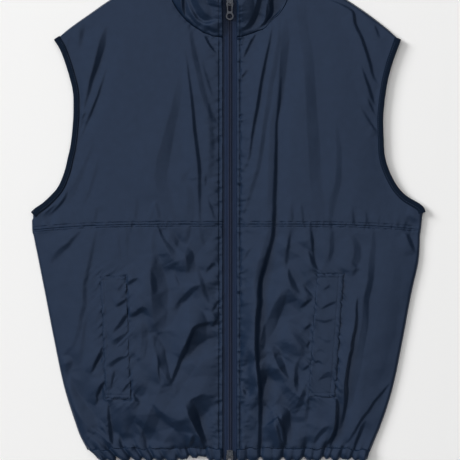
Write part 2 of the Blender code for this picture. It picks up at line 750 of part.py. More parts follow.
def armhole_stations(side):
    """Points along the armhole, level with the panels' rows, with the directions along it and in from it."""
    ups = [up for up in yoke_rows() if PIT <= up <= SHOULDER_TIP]
    points = [Vector((side * edge_at(ARMHOLE, side, up), up, 0.0)) for up in ups]
    stations = []
    for i, point in enumerate(points):
        along = (points[min(i + 1, len(points) - 1)] - points[max(i - 1, 0)]).normalized()
        stations.append((point, along, Vector((-side * along.y, side * along.x, 0.0))))
    return stations


def binding_rings(side):
    """Up the front's armhole, over the shoulder tip and down the back's."""
    profile = binding_profile()
    fold_z = BINDING_TOP / 2
    stations = armhole_stations(side)
    rings = [[point + inward * w + Vector((0, 0, z)) for w, z in profile] for point, _, inward in stations]
    tip, along, inward = stations[-1]
    for turn in even_steps(0.0, math.pi, 5)[1:-1]:
        ring = []
        for w, z in profile:
            spoke = along * math.sin(turn) + Vector((0, 0, math.cos(turn)))
            ring.append(tip + inward * w + Vector((0, 0, fold_z)) + spoke * (z - fold_z))
        rings.append(ring)
    for point, _, inward in reversed(stations):
        rings.append([point + inward * w + Vector((0, 0, BINDING_TOP - z)) for w, z in profile])
    return rings


# Hem casings


def hem_front_rings(side):
    """A doubled band with its elastic: each section rises and hangs lower between the gathers' troughs."""
    rings = []
    width = hem_out(side, LOWER_COLUMNS) - ZIP_HALF
    for column in range(LOWER_COLUMNS + 1):
        share = (hem_out(side, column) - ZIP_HALF) / width
        wave = gather_wave(column) * gather_rise(column)
        high = HEM_HEIGHT - SEAM_GAP
        low = CASING_LOW - 0.6 * wave
        under = WALL + SEAM_GAP + 0.3 * max(wave, 0.0)
        over = HEM_TOP - CASING_CROWN + 0.8 * wave
        ring = []
        for up, z in (
            (high, under + CASING_CROWN),
            (high, over - CASING_CROWN),
            (high - CASING_ROUND, over),
            (blend(low, high, 0.45), over + CASING_CROWN),
            (low + 0.6 * CASING_ROUND, over - 2 * CASING_CROWN),
            (low, blend(under, over, 0.5)),
            (low + 0.6 * CASING_ROUND, under),
        ):
            out = ZIP_HALF + share * (edge_at(SIDE_SEAM, side, up) - ZIP_HALF)
            ring.append(Vector((side * out, up, z)))
        rings.append(ring)
    return rings


def hem_back_grids():
    columns = even_steps(-1.0, 1.0, HEM_BACK_COLUMNS)
    upper = []
    for along in (0.0, 1.0):
        row = []
        for i, share in enumerate(columns):
            side = -1 if share < 0 else 1
            up = blend(CASING_LOW - 0.5 * CASING_ROUND * (i % 2), HEM_HEIGHT - SEAM_GAP, along)
            row.append(Vector((share * edge_at(SIDE_SEAM, side, up), up, WALL)))
        upper.append(row)
    under = [[Vector((point.x, point.y, 0.0)) for point in row] for row in upper]
    return upper, under


# Zip


def tape_rows():
    """Height, inner edge and outer edge of a tape: parted round each slider's post, narrower at the hem."""
    top, bottom = SLIDER_UP["top"], SLIDER_UP["bottom"]
    mouth = SLIDER_LENGTH / 2 - 0.0005
    rear = SLIDER_LENGTH / 4
    post = 0.0005
    shut = SEAM_GAP / 2
    in_hem = ZIP_HALF - SEAM_GAP
    return (
        (TAPE_LOW, TAPE_OPEN, in_hem),
        (bottom - mouth, TAPE_AT_MOUTH, in_hem),
        (bottom - post, TAPE_AT_POST, in_hem),
        (bottom + rear, shut, in_hem),
        (HEM_HEIGHT - SEAM_GAP, shut, in_hem),
        (HEM_HEIGHT + SEAM_GAP, shut, TAPE_HALF),
        (top - rear, shut, TAPE_HALF),
        (top + post, TAPE_AT_POST, TAPE_HALF),
        (top + mouth, TAPE_AT_MOUTH, TAPE_HALF),
        (top + TAPE_OVER_SLIDER, TAPE_OPEN, TAPE_HALF),
    )


def tape_grids(side):
    upper = []
    for up, inner, outer in tape_rows():
        upper.append([Vector((side * out, up, TAPE_TOP)) for out in (inner, outer)])
    under = [[Vector((point.x, point.y, TAPE_BOTTOM)) for point in row] for row in upper]
    return upper, under


def chain_mesh():
    """The closed coil as a plain strip on the tapes, between the sliders' posts."""
    clear = POST_FROM_CENTRE - POST_LENGTH / 2 - 2 * SEAM_GAP
    low = (-CHAIN_HALF, SLIDER_UP["bottom"] - clear, CHAIN_TOP - CHAIN_WALL)
    high = (CHAIN_HALF, SLIDER_UP["top"] + clear, CHAIN_TOP)
    return box_mesh("zip_chain", low, high)


def shield_outline():
    """A slider's plate from above, its wide mouth at +Y and the closed coil leaving at -Y."""
    half = SLIDER_LENGTH / 2
    right = [
        (SLIDER_REAR / 2, -half),
        (SLIDER_REAR / 2, -half + 0.004),
        (SLIDER_SHOULDER / 2, half - 0.0035),
        (SLIDER_NOSE / 2, half),
    ]
    return right + [(-x, y) for x, y in reversed(right)]


def crown_outline():
    """The crown from the side, along the slider: a strap with two legs over the pull tab's bar."""
    half, root = CROWN_LENGTH / 2, -CROWN_ROOT
    inner_half = half - CROWN_STRAP
    top = CROWN_OPENING + CROWN_STRAP
    outer = [(-half, root)]
    outer += arc(-half + CROWN_ROUND, top - CROWN_ROUND, CROWN_ROUND, 180, 90, 3)
    outer += arc(half - CROWN_ROUND, top - CROWN_ROUND, CROWN_ROUND, 90, 0, 3)
    outer += [(half, root), (inner_half, root)]
    turn, turn_up = CROWN_INNER_ROUND, CROWN_OPENING - CROWN_INNER_ROUND
    inner = arc(inner_half - turn, turn_up, turn, 0, 90, 2)
    inner += arc(-inner_half + turn, turn_up, turn, 90, 180, 2)
    return outer + inner + [(-inner_half, root)]


def solid_plate(name, outline, thickness, matrix_axes, centre, helpers):
    """A plate as a closed mesh object, its two axes and its thickness turned to matrix_axes."""
    curve = bpy.data.objects.new(name, plate_curve(name, [outline], thickness))
    helpers.objects.link(curve)
    graph = bpy.context.evaluated_depsgraph_get()
    mesh = bpy.data.meshes.new_from_object(curve.evaluated_get(graph))
    bpy.data.objects.remove(curve)
    bm = bmesh.new()
    bm.from_mesh(mesh)
    bmesh.ops.remove_doubles(bm, verts=bm.verts[:], dist=1e-6)
    along, across, through = (Vector(axis) for axis in matrix_axes)
    for vert in bm.verts:
        vert.co = along * vert.co.x + across * vert.co.y + through * vert.co.z + Vector(centre)
    bmesh.ops.recalc_face_normals(bm, faces=bm.faces[:])
    bm.to_mesh(mesh)
    bm.free()
    return mesh


def helper_object(name, mesh, helpers, parent):
    helper = bpy.data.objects.new(name, mesh)
    helper.parent = parent
    helper.hide_render = True
    helper.display_type = "WIRE"
    helpers.objects.link(helper)
    return helper


def add_slider(end, material, parts, helpers, root):
    """Two plates joined by a post, with flanges beside the coil and a crown on top."""
    name = "zip_slider_" + end
    flat = ((1, 0, 0), (0, 1, 0), (0, 0, 1))
    upright = ((0, 1, 0), (0, 0, 1), (1, 0, 0))
    flange_bottom = TAPE_TOP + FLANGE_LIFT
    floor_top = TAPE_BOTTOM - SEAM_GAP
    half = SLIDER_LENGTH / 2
    roof_height = PLATE_TOP - flange_bottom
    roof_centre = (0, 0, (PLATE_TOP + flange_bottom) / 2)
    floor_centre = (0, 0, floor_top - SLIDER_FLOOR / 2)
    body = solid_plate(name, shield_outline(), roof_height, flat, roof_centre, helpers)
    slider = add_object(name, body, material, parts, root)
    slider.location = (0, SLIDER_UP[end], 0)
    if end == "bottom":
        slider.rotation_euler = (0, 0, math.pi)
    channel_low = (-SLIDER_CHANNEL / 2, -2 * half, flange_bottom - SLIDER_PLATE)
    channel_high = (SLIDER_CHANNEL / 2, 2 * half, PLATE_TOP - SLIDER_PLATE)
    post_low = (-POST_WIDTH / 2, POST_FROM_CENTRE - POST_LENGTH / 2, floor_top - SLIDER_FLOOR / 2)
    post_high = (POST_WIDTH / 2, POST_FROM_CENTRE + POST_LENGTH / 2, PLATE_TOP - SLIDER_PLATE / 2)
    crown_centre = (0, 0, PLATE_TOP)
    floor = solid_plate("floor", shield_outline(), SLIDER_FLOOR, flat, floor_centre, helpers)
    crown = solid_plate("crown", crown_outline(), CROWN_WIDTH, upright, crown_centre, helpers)
    changes = (
        ("channel", "DIFFERENCE", box_mesh("channel", channel_low, channel_high)),
        ("post", "UNION", box_mesh("post", post_low, post_high)),
        ("floor", "UNION", floor),
        ("crown", "UNION", crown),
    )
    for label, operation, mesh in changes:
        boolean = slider.modifiers.new(label, "BOOLEAN")
        boolean.operation = operation
        boolean.solver = "MANIFOLD"
        boolean.object = helper_object(name + "_" + label, mesh, helpers, slider)


def pull_outlines():
    """A pull tab with its hinge bar at the origin, a slot below it and an eye in its round end."""
    centre = -PULL_LENGTH + PULL_RING
    right = [
        (PULL_WAIST_HALF, centre + PULL_NECK),
        (PULL_WAIST_HALF, -PULL_TAPER_END),
        (PULL_TOP_HALF, -PULL_TAPER_START),
        (PULL_TOP_HALF, 0.0),
        (PULL_TOP_HALF - PULL_CORNER, PULL_BAR),
    ]
    left = [(-x, y) for x, y in reversed(right)]
    outline = right + left + arc(0.0, centre, PULL_RING, 145, 395, 12)
    turn, turn_y = PULL_SLOT_ROUND, PULL_SLOT_ROUND - PULL_SLOT_END
    slot = [(PULL_SLOT_HALF, -PULL_BAR), (-PULL_SLOT_HALF, -PULL_BAR)]
    slot += arc(-PULL_SLOT_HALF + turn, turn_y, turn, 180, 270, 2)
    slot += arc(PULL_SLOT_HALF - turn, turn_y, turn, 270, 360, 2)
    eye = arc(0.0, centre, PULL_EYE, 0, 330, 11)
    return [outline, slot, eye]


def add_pull(end, material, parts, root):
    name = "zip_pull_" + end
    pull = add_object(name, plate_curve(name, pull_outlines(), PULL_WALL, PULL_EDGE), material, parts, root)
    pull.location = (0, SLIDER_UP[end] - PIVOT_FROM_CENTRE, PIVOT_Z)
    pull.rotation_euler = (PULL_REST_TILT, 0, 0)


# The whole vest


def centre_on_origin(root, parts):
    """Moves the vest so that the middle of its underside is at the origin."""
    bpy.context.view_layer.update()
    graph = bpy.context.evaluated_depsgraph_get()
    corners = []
    for piece in parts.objects:
        if piece.type != "EMPTY":
            shown = piece.evaluated_get(graph)
            corners += [shown.matrix_world @ vert.co for vert in shown.to_mesh().vertices]
            shown.to_mesh_clear()
    low = Vector(min(corner[axis] for corner in corners) for axis in range(3))
    high = Vector(max(corner[axis] for corner in corners) for axis in range(3))
    root.location = (-(low.x + high.x) / 2, -(low.y + high.y) / 2, -low.z)
    bpy.context.view_layer.update()


def build_vest():
    for old in list(bpy.data.objects):
        bpy.data.objects.remove(old)
    parts = bpy.data.collections.new("fleece_vest")
    helpers = bpy.data.collections.new("vest_cutters")
    for collection in (parts, helpers):
        bpy.context.scene.collection.children.link(collection)
    materials = {name: new_material(name) for name in FINISHES}
    root = bpy.data.objects.new("vest_origin", None)
    parts.objects.link(root)

    def add_wall(name, grids, material):
        add_object(name, wall_mesh(name, *grids), materials[material], parts, root)

    add_wall("back_panel", back_grids(), "navy_nylon")
    add_wall("hem_back", hem_back_grids(), "navy_nylon")
    add_wall("collar", collar_grids(), "navy_nylon")
    for side, label in ((-1, "left"), (1, "right")):
        lower = lower_grids(side)
        add_wall("front_yoke_" + label, yoke_grids(side), "navy_nylon")
        add_wall("front_lower_" + label, lower, "navy_nylon")
        add_wall("pocket_welt_" + label, welt_grids(side, lower[0]), "navy_nylon")
        add_wall("zip_tape_" + label, tape_grids(side), "navy_zip_tape")
        hem = loft_mesh("hem_front_" + label, hem_front_rings(side))
        add_object("hem_front_" + label, hem, materials["navy_nylon"], parts, root)
        binding = loft_mesh("armhole_binding_" + label, binding_rings(side))
        add_object("armhole_binding_" + label, binding, materials["navy_knit_binding"], parts, root)
    add_object("zip_chain", chain_mesh(), materials["navy_zip_coil"], parts, root)
    for end in SLIDER_UP:
        add_slider(end, materials["gunmetal"], parts, helpers, root)
        add_pull(end, materials["gunmetal"], parts, root)
    centre_on_origin(root, parts)


build_vest()
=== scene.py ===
"""The looks of a navy nylon vest with a fleece inside, zipped shut and laid flat on its back.

x is the distance to the right of the zip's centre line, out the distance to either side of it, and up
the distance from the hem's lower edge. side is -1 on the left and +1 on the right. Sizes are in metres,
apart from the crease and gather tables, which are in millimetres.
"""

import math
from collections import namedtuple

import bpy
import numpy as np
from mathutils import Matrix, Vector


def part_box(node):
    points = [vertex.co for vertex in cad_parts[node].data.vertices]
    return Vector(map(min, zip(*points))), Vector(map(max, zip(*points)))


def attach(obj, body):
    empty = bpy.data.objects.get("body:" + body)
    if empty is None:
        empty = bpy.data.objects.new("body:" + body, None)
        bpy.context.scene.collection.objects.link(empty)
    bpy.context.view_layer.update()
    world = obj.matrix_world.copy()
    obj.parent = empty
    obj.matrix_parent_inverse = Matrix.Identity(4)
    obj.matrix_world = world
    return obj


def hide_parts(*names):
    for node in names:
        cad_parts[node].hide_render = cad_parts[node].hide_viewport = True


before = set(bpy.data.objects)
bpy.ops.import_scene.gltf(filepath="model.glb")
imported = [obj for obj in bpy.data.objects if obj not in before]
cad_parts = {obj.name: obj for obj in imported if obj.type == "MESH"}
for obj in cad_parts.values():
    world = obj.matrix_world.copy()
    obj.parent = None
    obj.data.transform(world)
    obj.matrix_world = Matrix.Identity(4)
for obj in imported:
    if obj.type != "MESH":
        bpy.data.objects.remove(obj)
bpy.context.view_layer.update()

MM = 0.001
SIDES = {-1: "left", 1: "right"}

# Sizes of the sewn pieces
SEAM_GAP = 0.0003
HEM_HEIGHT = 0.021
YOKE_SEAM = 0.358
YOKE_SEAM_SAG = 0.009
CHEST_HALF = 0.295
PIT = 0.3765
SHOULDER_TIP = 0.6345
NECK_POINT = 0.7425
NECK_HALF = 0.098
NECK_DROP = 0.105
BACK_NECK_DROP = 0.012
COLLAR_TOP = 0.808
COLLAR_TOP_HALF = 0.086
COLLAR_TOP_DROP = 0.100
COLLAR_BACK_DIP = 0.007
COLLAR_FOLD_RADIUS = 0.0035
COLLAR_STAND = 0.0245
COLLAR_HEIGHT = 0.065
BINDING_WIDTH = 0.0085
BINDING_ZONE = 0.0095
RAW_EDGE_INSET = 0.0022
TIP_TUCK = 0.0015
ZIP_HALF = 0.0103
PLACKET = 0.0158
TAPE_HALF = 0.015

# Heights above the surface
EDGE_TOP = 0.0063
LOFT = 0.015
ZIP_TOP = 0.010
HEM_TOP = 0.0092
BOUND_TOP = 0.0076
BINDING_TOP = 0.0089
STRAND_FLOOR = 0.0046
TAPE_TOP = 0.0077
SEAM_Z = 0.0026
LOWEST_FRONT = 0.0046
HIGHEST_FRONT = 0.0250
CLOTH = 0.0011

# The frame gives the zip's centre line, the hem's lower edge and the places of the sliders
ZIP_X = (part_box("zip_chain")[0].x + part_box("zip_chain")[1].x) / 2
HEM_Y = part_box("front_lower_left")[0].y - HEM_HEIGHT
SLIDER_UP = (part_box("zip_slider_top")[0].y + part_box("zip_slider_top")[1].y) / 2 - HEM_Y
LOW_SLIDER_UP = (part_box("zip_slider_bottom")[0].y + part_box("zip_slider_bottom")[1].y) / 2 - HEM_Y

# Radii of the rolled edges, and the rows of stitches beside the yoke seam
EDGE_ROLL = 0.0045
ZIP_ROLL = 0.0012
WELT_ROLL = 0.0022
SEAM_ROWS = (-0.0035, 0.0035)

# Mesh steps
CLOTH_STEP = 0.0017
YOKE_EVEN = 0.600
FINE_STEPS = np.array([0.0, 0.0005, 0.0011, 0.0019])
CLOSEST = 0.00035

# The outline of the vest, from its lower edge to the neck point
Edge = namedtuple("Edge", "up left right")
SIDE_SEAM = (
    Edge(0.000, 0.1940, 0.2060),
    Edge(0.012, 0.2030, 0.2080),
    Edge(0.021, 0.2130, 0.2120),
    Edge(0.034, 0.2220, 0.2180),
    Edge(0.064, 0.2335, 0.2300),
    Edge(0.112, 0.2485, 0.2450),
    Edge(0.184, 0.2640, 0.2600),
    Edge(0.256, 0.2780, 0.2735),
    Edge(0.304, 0.2875, 0.2840),
    Edge(0.352, 0.2965, 0.2870),
    Edge(PIT, 0.2980, 0.2905),
)
ARMHOLE = (
    Edge(PIT, 0.2985, 0.2940),
    Edge(0.3825, 0.2920, 0.2920),
    Edge(0.3885, 0.2830, 0.2860),
    Edge(0.4005, 0.2695, 0.2660),
    Edge(0.4125, 0.2590, 0.2540),
    Edge(0.4365, 0.2485, 0.2405),
    Edge(0.4605, 0.2425, 0.2330),
    Edge(0.4845, 0.2380, 0.2315),
    Edge(0.5205, 0.2350, 0.2305),
    Edge(0.5565, 0.2355, 0.2345),
    Edge(0.5925, 0.2445, 0.2420),
    Edge(0.6225, 0.2560, 0.2525),
    Edge(SHOULDER_TIP, 0.2635, 0.2570),
)
SHOULDER = (
    Edge(SHOULDER_TIP, 0.2635, 0.2570),
    Edge(0.6525, 0.2410, 0.2360),
    Edge(0.6765, 0.2070, 0.2045),
    Edge(0.6945, 0.1810, 0.1775),
    Edge(NECK_POINT, 0.1000, 0.1000),
)

# Pocket welts: heights of their ends, and how far out their two long edges are at each end
Welt = namedtuple("Welt", "low high inner_low inner_high outer_low outer_high")
WELTS = {
    -1: Welt(0.0960, 0.2805, 0.1480, 0.1555, 0.1870, 0.1945),
    1: Welt(0.0985, 0.2845, 0.1175, 0.1310, 0.1580, 0.1715),
}
WELT_WIDTH = 0.040
WELT_RISE = 0.0009
WELT_OUTER_ROW = 0.64
WELT_END_ROW = 0.0862

# Troughs of the gathered hem: how far out from the zip, how deep and how far up the front, in millimetres
Trough = namedtuple("Trough", "out depth reach")
GATHERS = {
    -1: (
        Trough(25, 2.4, 8),
        Trough(37, 4.0, 14),
        Trough(43, 2.4, 6),
        Trough(49, 3.6, 9),
        Trough(56, 2.0, 5),
        Trough(63, 5.0, 22),
        Trough(72, 2.0, 7),
        Trough(82, 3.4, 10),
        Trough(105, 3.0, 9),
        Trough(122, 4.0, 16),
        Trough(140, 4.4, 12),
        Trough(159, 4.8, 22),
        Trough(181, 5.4, 26),
        Trough(200, 2.6, 12),
    ),
    1: (
        Trough(27, 3.2, 9),
        Trough(47, 5.4, 24),
        Trough(66, 2.2, 10),
        Trough(82, 4.8, 20),
        Trough(97, 1.8, 9),
        Trough(114, 4.6, 16),
        Trough(128, 2.0, 10),
        Trough(144, 5.0, 20),
        Trough(155, 3.4, 12),
        Trough(170, 3.8, 16),
        Trough(179, 1.8, 8),
        Trough(188, 3.6, 14),
        Trough(199, 2.2, 9),
    ),
}
TROUGH_WIDTH = 0.0042
GATHER_PUFF = 0.0036

# Creases, each a slope that runs down away from the light: its widths along it, its drop where it is widest,
# and the points (x, up) that it runs through. Those with a negative drop face the light. A crease with two
# widths comes to a point at both ends.
Crease = namedtuple("Crease", "name widths drop points")
CREASES = (
    # Left yoke
    Crease("shoulder to armhole", (11, 5), 6.5,
        ((-184, 656), (-195, 615), (-205, 579), (-213, 549), (-220, 526))),
    Crease("beside it", (4, 4), 3.0, ((-183, 596), (-195, 558), (-208, 525), (-224, 487))),
    Crease("to the binding, upper", (3, 3), 2.2, ((-215, 528), (-227, 507))),
    Crease("to the binding, lower", (3, 3), 2.2, ((-219, 515), (-229, 494))),
    Crease("shoulder tip", (8, 6), 3.0, ((-220, 660), (-226, 622))),
    Crease("shoulder tip, short", (4, 4), 1.0, ((-242, 640), (-244, 624))),
    Crease("to the armpit", (4, 10), 2.0, ((-204, 482), (-220, 440), (-248, 384))),
    Crease("to the armpit, inner", (4, 5), 1.3, ((-195, 462), (-205, 424), (-220, 382))),
    Crease("armpit curve", (4, 4), 2.6, ((-243, 417), (-250, 394), (-272, 371))),
    Crease("armpit short", (3, 3), 1.8, ((-260, 390), (-282, 371))),
    Crease("armpit dash", (5, 5), 3.0, ((-279, 369), (-265, 360))),
    Crease("chest, broad", (5, 11, 15, 20, 18, 16), 4.3,
        ((-72, 592), (-81, 534), (-94, 480), (-103, 430), (-94, 394), (-86, 352))),
    Crease("chest, long", (5, 6), 3.8,
        ((-67, 622), (-61, 580), (-55, 534), (-51, 489), (-46, 448), (-45, 408), (-45, 350))),
    Crease("neck to zip", (5, 9, 9, 6), 3.0,
        ((-61, 658), (-54, 620), (-46, 585), (-39, 553), (-30, 528), (-16, 504))),
    Crease("neck to zip, faint", (4, 4), 1.3, ((-42, 605), (-25, 548))),
    Crease("neck to zip, short", (3, 3), 2.4, ((-39, 645), (-30, 627), (-19, 613))),
    Crease("beside the zip", (8, 8), 1.5, ((-31, 540), (-27, 480), (-30, 408))),
    Crease("chest, bent", (9, 11), 2.6, ((-58, 444), (-69, 424), (-60, 408), (-57, 352))),
    Crease("by the zip, dash", (4, 4), 1.6, ((-36, 434), (-36, 413))),
    Crease("by the zip, seam", (4, 4), 1.6, ((-34, 401), (-22, 364))),
    Crease("bump over the seam", (4, 5), 1.6, ((-122, 370), (-111, 391), (-102, 356))),
    Crease("seam pull, outer", (4, 4), 1.2, ((-199, 386), (-202, 356))),
    Crease("seam pull, middle", (5, 4), 1.0, ((-138, 404), (-142, 354))),
    # Right yoke
    Crease("collar to zip", (3, 5, 5, 4), 4.6,
        ((65, 660), (59, 626), (51, 588), (44, 550), (38, 513), (32, 480), (29, 455), (19, 436))),
    Crease("neck to seam", (8, 7), 3.6,
        ((77, 668), (69, 600), (62, 566), (56, 528), (50, 489), (44, 448), (36, 418), (27, 390), (15, 360))),
    Crease("neck, soft", (14, 10), 4.6, ((84, 668), (81, 598), (77, 561), (71, 520))),
    Crease("chest, main", (2, 3, 4, 5, 7), 4.6,
        ((78, 580), (74, 540), (70, 493), (69, 438), (68, 394), (65, 330))),
    Crease("chest, main, soft side", (4, 8, 10, 10, 8), 3.0,
        ((74, 560), (67, 520), (63, 480), (62, 430), (61, 390), (59, 350))),
    Crease("chest band", (15, 16, 18, 18), 3.1,
        ((104, 705), (111, 651), (119, 598), (122, 534), (126, 480), (129, 426), (134, 373), (136, 345))),
    Crease("chest, outer", (8, 11), 2.0,
        ((159, 508), (164, 470), (164, 441), (161, 415), (155, 394), (148, 355))),
    Crease("shoulder to armhole, right", (2, 4, 4, 4), 3.2,
        ((146, 697), (167, 688), (185, 678), (189, 658), (200, 634), (210, 603), (216, 580), (226, 565))),
    Crease("beside it, right", (4, 4), 2.3, ((197, 596), (209, 564), (215, 545), (223, 534))),
    Crease("to the binding, right", (3, 3), 1.4, ((206, 548), (221, 518))),
    Crease("to the binding, faint", (4, 3), 1.3, ((197, 533), (218, 499))),
    Crease("binding dash", (3, 3), 1.6, ((213, 507), (223, 496))),
    Crease("shoulder line", (4, 4), 1.4, ((190, 686), (228, 654))),
    Crease("shoulder tip, right", (3, 4), 1.3, ((217, 659), (226, 637))),
    Crease("seam pull 1", (4, 4), 1.4, ((93, 390), (94, 356))),
    Crease("seam pull 2", (4, 4), 1.5, ((107, 390), (111, 356))),
    Crease("seam pull 3", (4, 3), 0.9, ((184, 386), (186, 356))),
    Crease("seam pull 4", (3, 4), 0.9, ((203, 382), (209, 354))),
    Crease("seam pull 5", (3, 3), 0.6, ((224, 374), (223, 354))),
    Crease("neck to zip, right", (4, 4), 3.0, ((40, 646), (33, 632), (20, 606))),
    Crease("zip pucker 1", (3, 3), 2.0, ((22, 638), (16, 622))),
    Crease("zip pucker 2", (4, 4), 2.6, ((27, 590), (14, 574))),
    Crease("zip pucker 3", (3, 3), 1.4, ((21, 516), (14, 506))),
    Crease("armpit patch", (7, 7), 2.6, ((264, 371), (287, 365))),
    # Left lower front
    Crease("seam to side", (5, 10), 3.0, ((-222, 352), (-240, 327), (-255, 315), (-268, 299))),
    Crease("side, long", (6, 8), 2.8,
        ((-198, 356), (-207, 320), (-214, 285), (-219, 247), (-225, 202), (-236, 170))),
    Crease("side, faint", (5, 6), 1.6, ((-213, 224), (-225, 145))),
    Crease("side patch", (8, 10), 3.2, ((-252, 162), (-240, 151), (-248, 134))),
    Crease("side ridge", (5, 5), -1.8, ((-240, 137), (-243, 97))),
    Crease("side, lower", (12, 18, 16), 6.4, ((-248, 132), (-228, 90), (-198, 48))),
    Crease("out from the welt, upper", (5, 4), 4.4, ((-190, 175), (-199, 154), (-208, 134))),
    Crease("out from the welt, lower", (5, 4), 4.4, ((-188, 124), (-198, 106), (-202, 85))),
    Crease("in from the welt, top", (5, 5), 3.2, ((-137, 281), (-155, 265))),
    Crease("in from the welt, middle", (7, 6), 3.8, ((-125, 232), (-136, 227), (-150, 217))),
    Crease("in from the welt, foot", (5, 5), 3.0, ((-149, 109), (-133, 90))),
    Crease("belly, top", (5, 9), 2.2, ((-112, 350), (-112, 322), (-110, 296))),
    Crease("belly, broad", (12, 22, 28, 26, 14), 9.0,
        ((-112, 312), (-110, 286), (-106, 258), (-104, 230), (-102, 198))),
    Crease("belly dent", (6, 10, 6), 2.6, ((-124, 290), (-116, 271), (-112, 255))),
    Crease("belly line", (3, 3), 1.8, ((-84, 285), (-74, 262))),
    Crease("belly, outer", (11, 12), 4.2, ((-130, 214), (-127, 181), (-134, 152))),
    Crease("belly, middle", (8, 13, 12, 5), 8.0, ((-112, 194), (-105, 168), (-97, 142), (-88, 118))),
    Crease("wedge under the seam", (3, 5, 9, 13), 5.2, ((-110, 362), (-98, 336), (-86, 317), (-74, 303))),
    Crease("belly, bent", (4, 9, 14, 15, 10), 5.0,
        ((-92, 352), (-76, 328), (-62, 314), (-58, 292), (-62, 270))),
    Crease("under the seam 1", (6, 6), 2.0, ((-59, 356), (-65, 326))),
    Crease("under the seam 2", (6, 6), 1.6, ((-46, 352), (-35, 317))),
    Crease("under the seam 3", (4, 4), 1.0, ((-165, 356), (-163, 302))),
    Crease("under the seam 4", (4, 4), 1.0, ((-153, 358), (-153, 310))),
    Crease("belly to zip, short", (7, 7), 2.4, ((-49, 292), (-40, 262), (-32, 238))),
    Crease("belly cross", (6, 10, 7), 4.6, ((-46, 268), (-62, 252), (-84, 226))),
    Crease("zip corner 1", (4, 4), 1.9, ((-24, 302), (-38, 285))),
    Crease("zip corner 2", (4, 4), 2.2, ((-17, 242), (-29, 226))),
    Crease("zip corner 3", (3, 3), 2.4, ((-15, 219), (-26, 205))),
    Crease("great diagonal", (3, 5, 6, 7, 7, 5), 6.0,
        ((-20, 212), (-50, 206), (-58, 190), (-68, 166), (-77, 143), (-89, 115))),
    Crease("great diagonal, facet", (26, 22, 14, 6), 8.0, ((-26, 204), (-44, 192), (-58, 174), (-69, 154))),
    Crease("foot of the diagonal", (3, 3), 2.4, ((-107, 160), (-106, 141), (-103, 118))),
    Crease("below the diagonal", (8, 8), 1.6, ((-74, 118), (-80, 96))),
    Crease("lower belly", (50, 40), 4.8, ((-190, 64), (-120, 58), (-50, 34))),
    Crease("lower belly ridge", (6, 6), -2.4, ((-119, 92), (-97, 68), (-76, 45))),
    Crease("crescent", (13, 14, 10, 8, 7), 13.0, ((-63, 93), (-55, 76), (-47, 54), (-39, 33), (-33, 14))),
    Crease("beside the crescent", (6, 6), 4.5, ((-53, 42), (-61, 20))),
    Crease("welt foot to hem", (5, 6), 4.4, ((-184, 93), (-181, 60), (-176, 24))),
    Crease("corner to hem 1", (4, 5), 3.4, ((-208, 54), (-192, 43), (-178, 28))),
    Crease("corner to hem 2", (5, 5), 2.4, ((-216, 47), (-200, 33), (-190, 24))),
    Crease("corner to hem 3", (5, 5), 2.4, ((-196, 66), (-184, 46), (-176, 24))),
    Crease("hem pull", (5, 5), 3.8, ((-166, 44), (-164, 32), (-157, 16))),
    Crease("hem pull, long", (5, 5), 2.0, ((-140, 60), (-128, 38), (-122, 18))),
    # Right lower front
    Crease("great fold", (3, 5, 6, 7, 7, 6, 6, 5), 7.2,
        ((69, 388), (65, 346), (57, 315), (49, 279), (44, 247), (41, 210), (41, 172), (44, 135),
         (47, 97), (47, 66), (45, 8))),
    Crease("great fold, soft side", (6, 12, 15, 16, 14, 9), 5.4,
        ((66, 376), (54, 325), (46, 285), (43, 245), (46, 200), (48, 150), (51, 100), (51, 60))),
    Crease("under the seam, right", (5, 6), 2.4, ((93, 362), (87, 322), (83, 288))),
    Crease("wedge", (3, 9, 13), 4.6, ((87, 294), (92, 272), (103, 247))),
    Crease("band to the fold", (8, 15, 17, 8), 7.4, ((84, 262), (72, 234), (58, 200), (48, 172))),
    Crease("peak", (4, 12, 10, 3), 7.5, ((56, 178), (68, 170), (77, 152), (88, 124))),
    Crease("beside the fold", (18, 14, 7, 4), 8.0, ((66, 168), (56, 147), (50, 118), (48, 96))),
    Crease("belly patch", (12, 14), 4.6, ((86, 210), (108, 187), (121, 168))),
    Crease("belly, beside the welt", (6, 7), 3.4, ((106, 160), (99, 136), (101, 104))),
    Crease("fold foot patch", (16, 14), 3.6, ((40, 99), (34, 90), (24, 78))),
    Crease("crescent, right", (6, 15, 13, 5), 9.2, ((68, 86), (84, 77), (87, 60), (90, 28))),
    Crease("crescent line", (4, 5), 4.4, ((62, 84), (78, 60), (87, 10))),
    Crease("crescent side", (5, 5), 3.4, ((68, 66), (79, 24))),
    Crease("seam to welt corner", (4, 4), 2.4, ((121, 362), (123, 322), (131, 287))),
    Crease("into welt corner", (4, 6), 3.2, ((115, 321), (131, 286))),
    Crease("over the welt", (6, 8), 1.9, ((150, 362), (153, 319), (137, 288))),
    Crease("outer welt corner", (6, 12, 12, 7), 3.4, ((182, 341), (192, 315), (184, 285))),
    Crease("outer welt corner, short", (6, 6), 2.2, ((196, 292), (182, 280))),
    Crease("beside the welt", (2, 4, 5, 6, 5), 7.0,
        ((191, 252), (188, 217), (183, 172), (177, 135), (174, 97), (167, 50))),
    Crease("side, long, right", (10, 12), 3.6,
        ((216, 364), (213, 297), (206, 252), (200, 196), (195, 159), (188, 121), (179, 80))),
    Crease("side band", (26, 30, 30, 26, 16), 1.8,
        ((246, 310), (238, 222), (228, 172), (212, 121), (190, 72))),
    Crease("side to hem", (3, 4), 2.0, ((251, 131), (210, 82), (185, 42), (166, 16))),
    Crease("side to hem, short", (5, 5), 2.4, ((204, 64), (187, 20))),
    Crease("welt foot to hem, right", (3, 5, 6, 7, 6), 8.0,
        ((158, 108), (161, 76), (158, 46), (150, 27), (142, 5))),
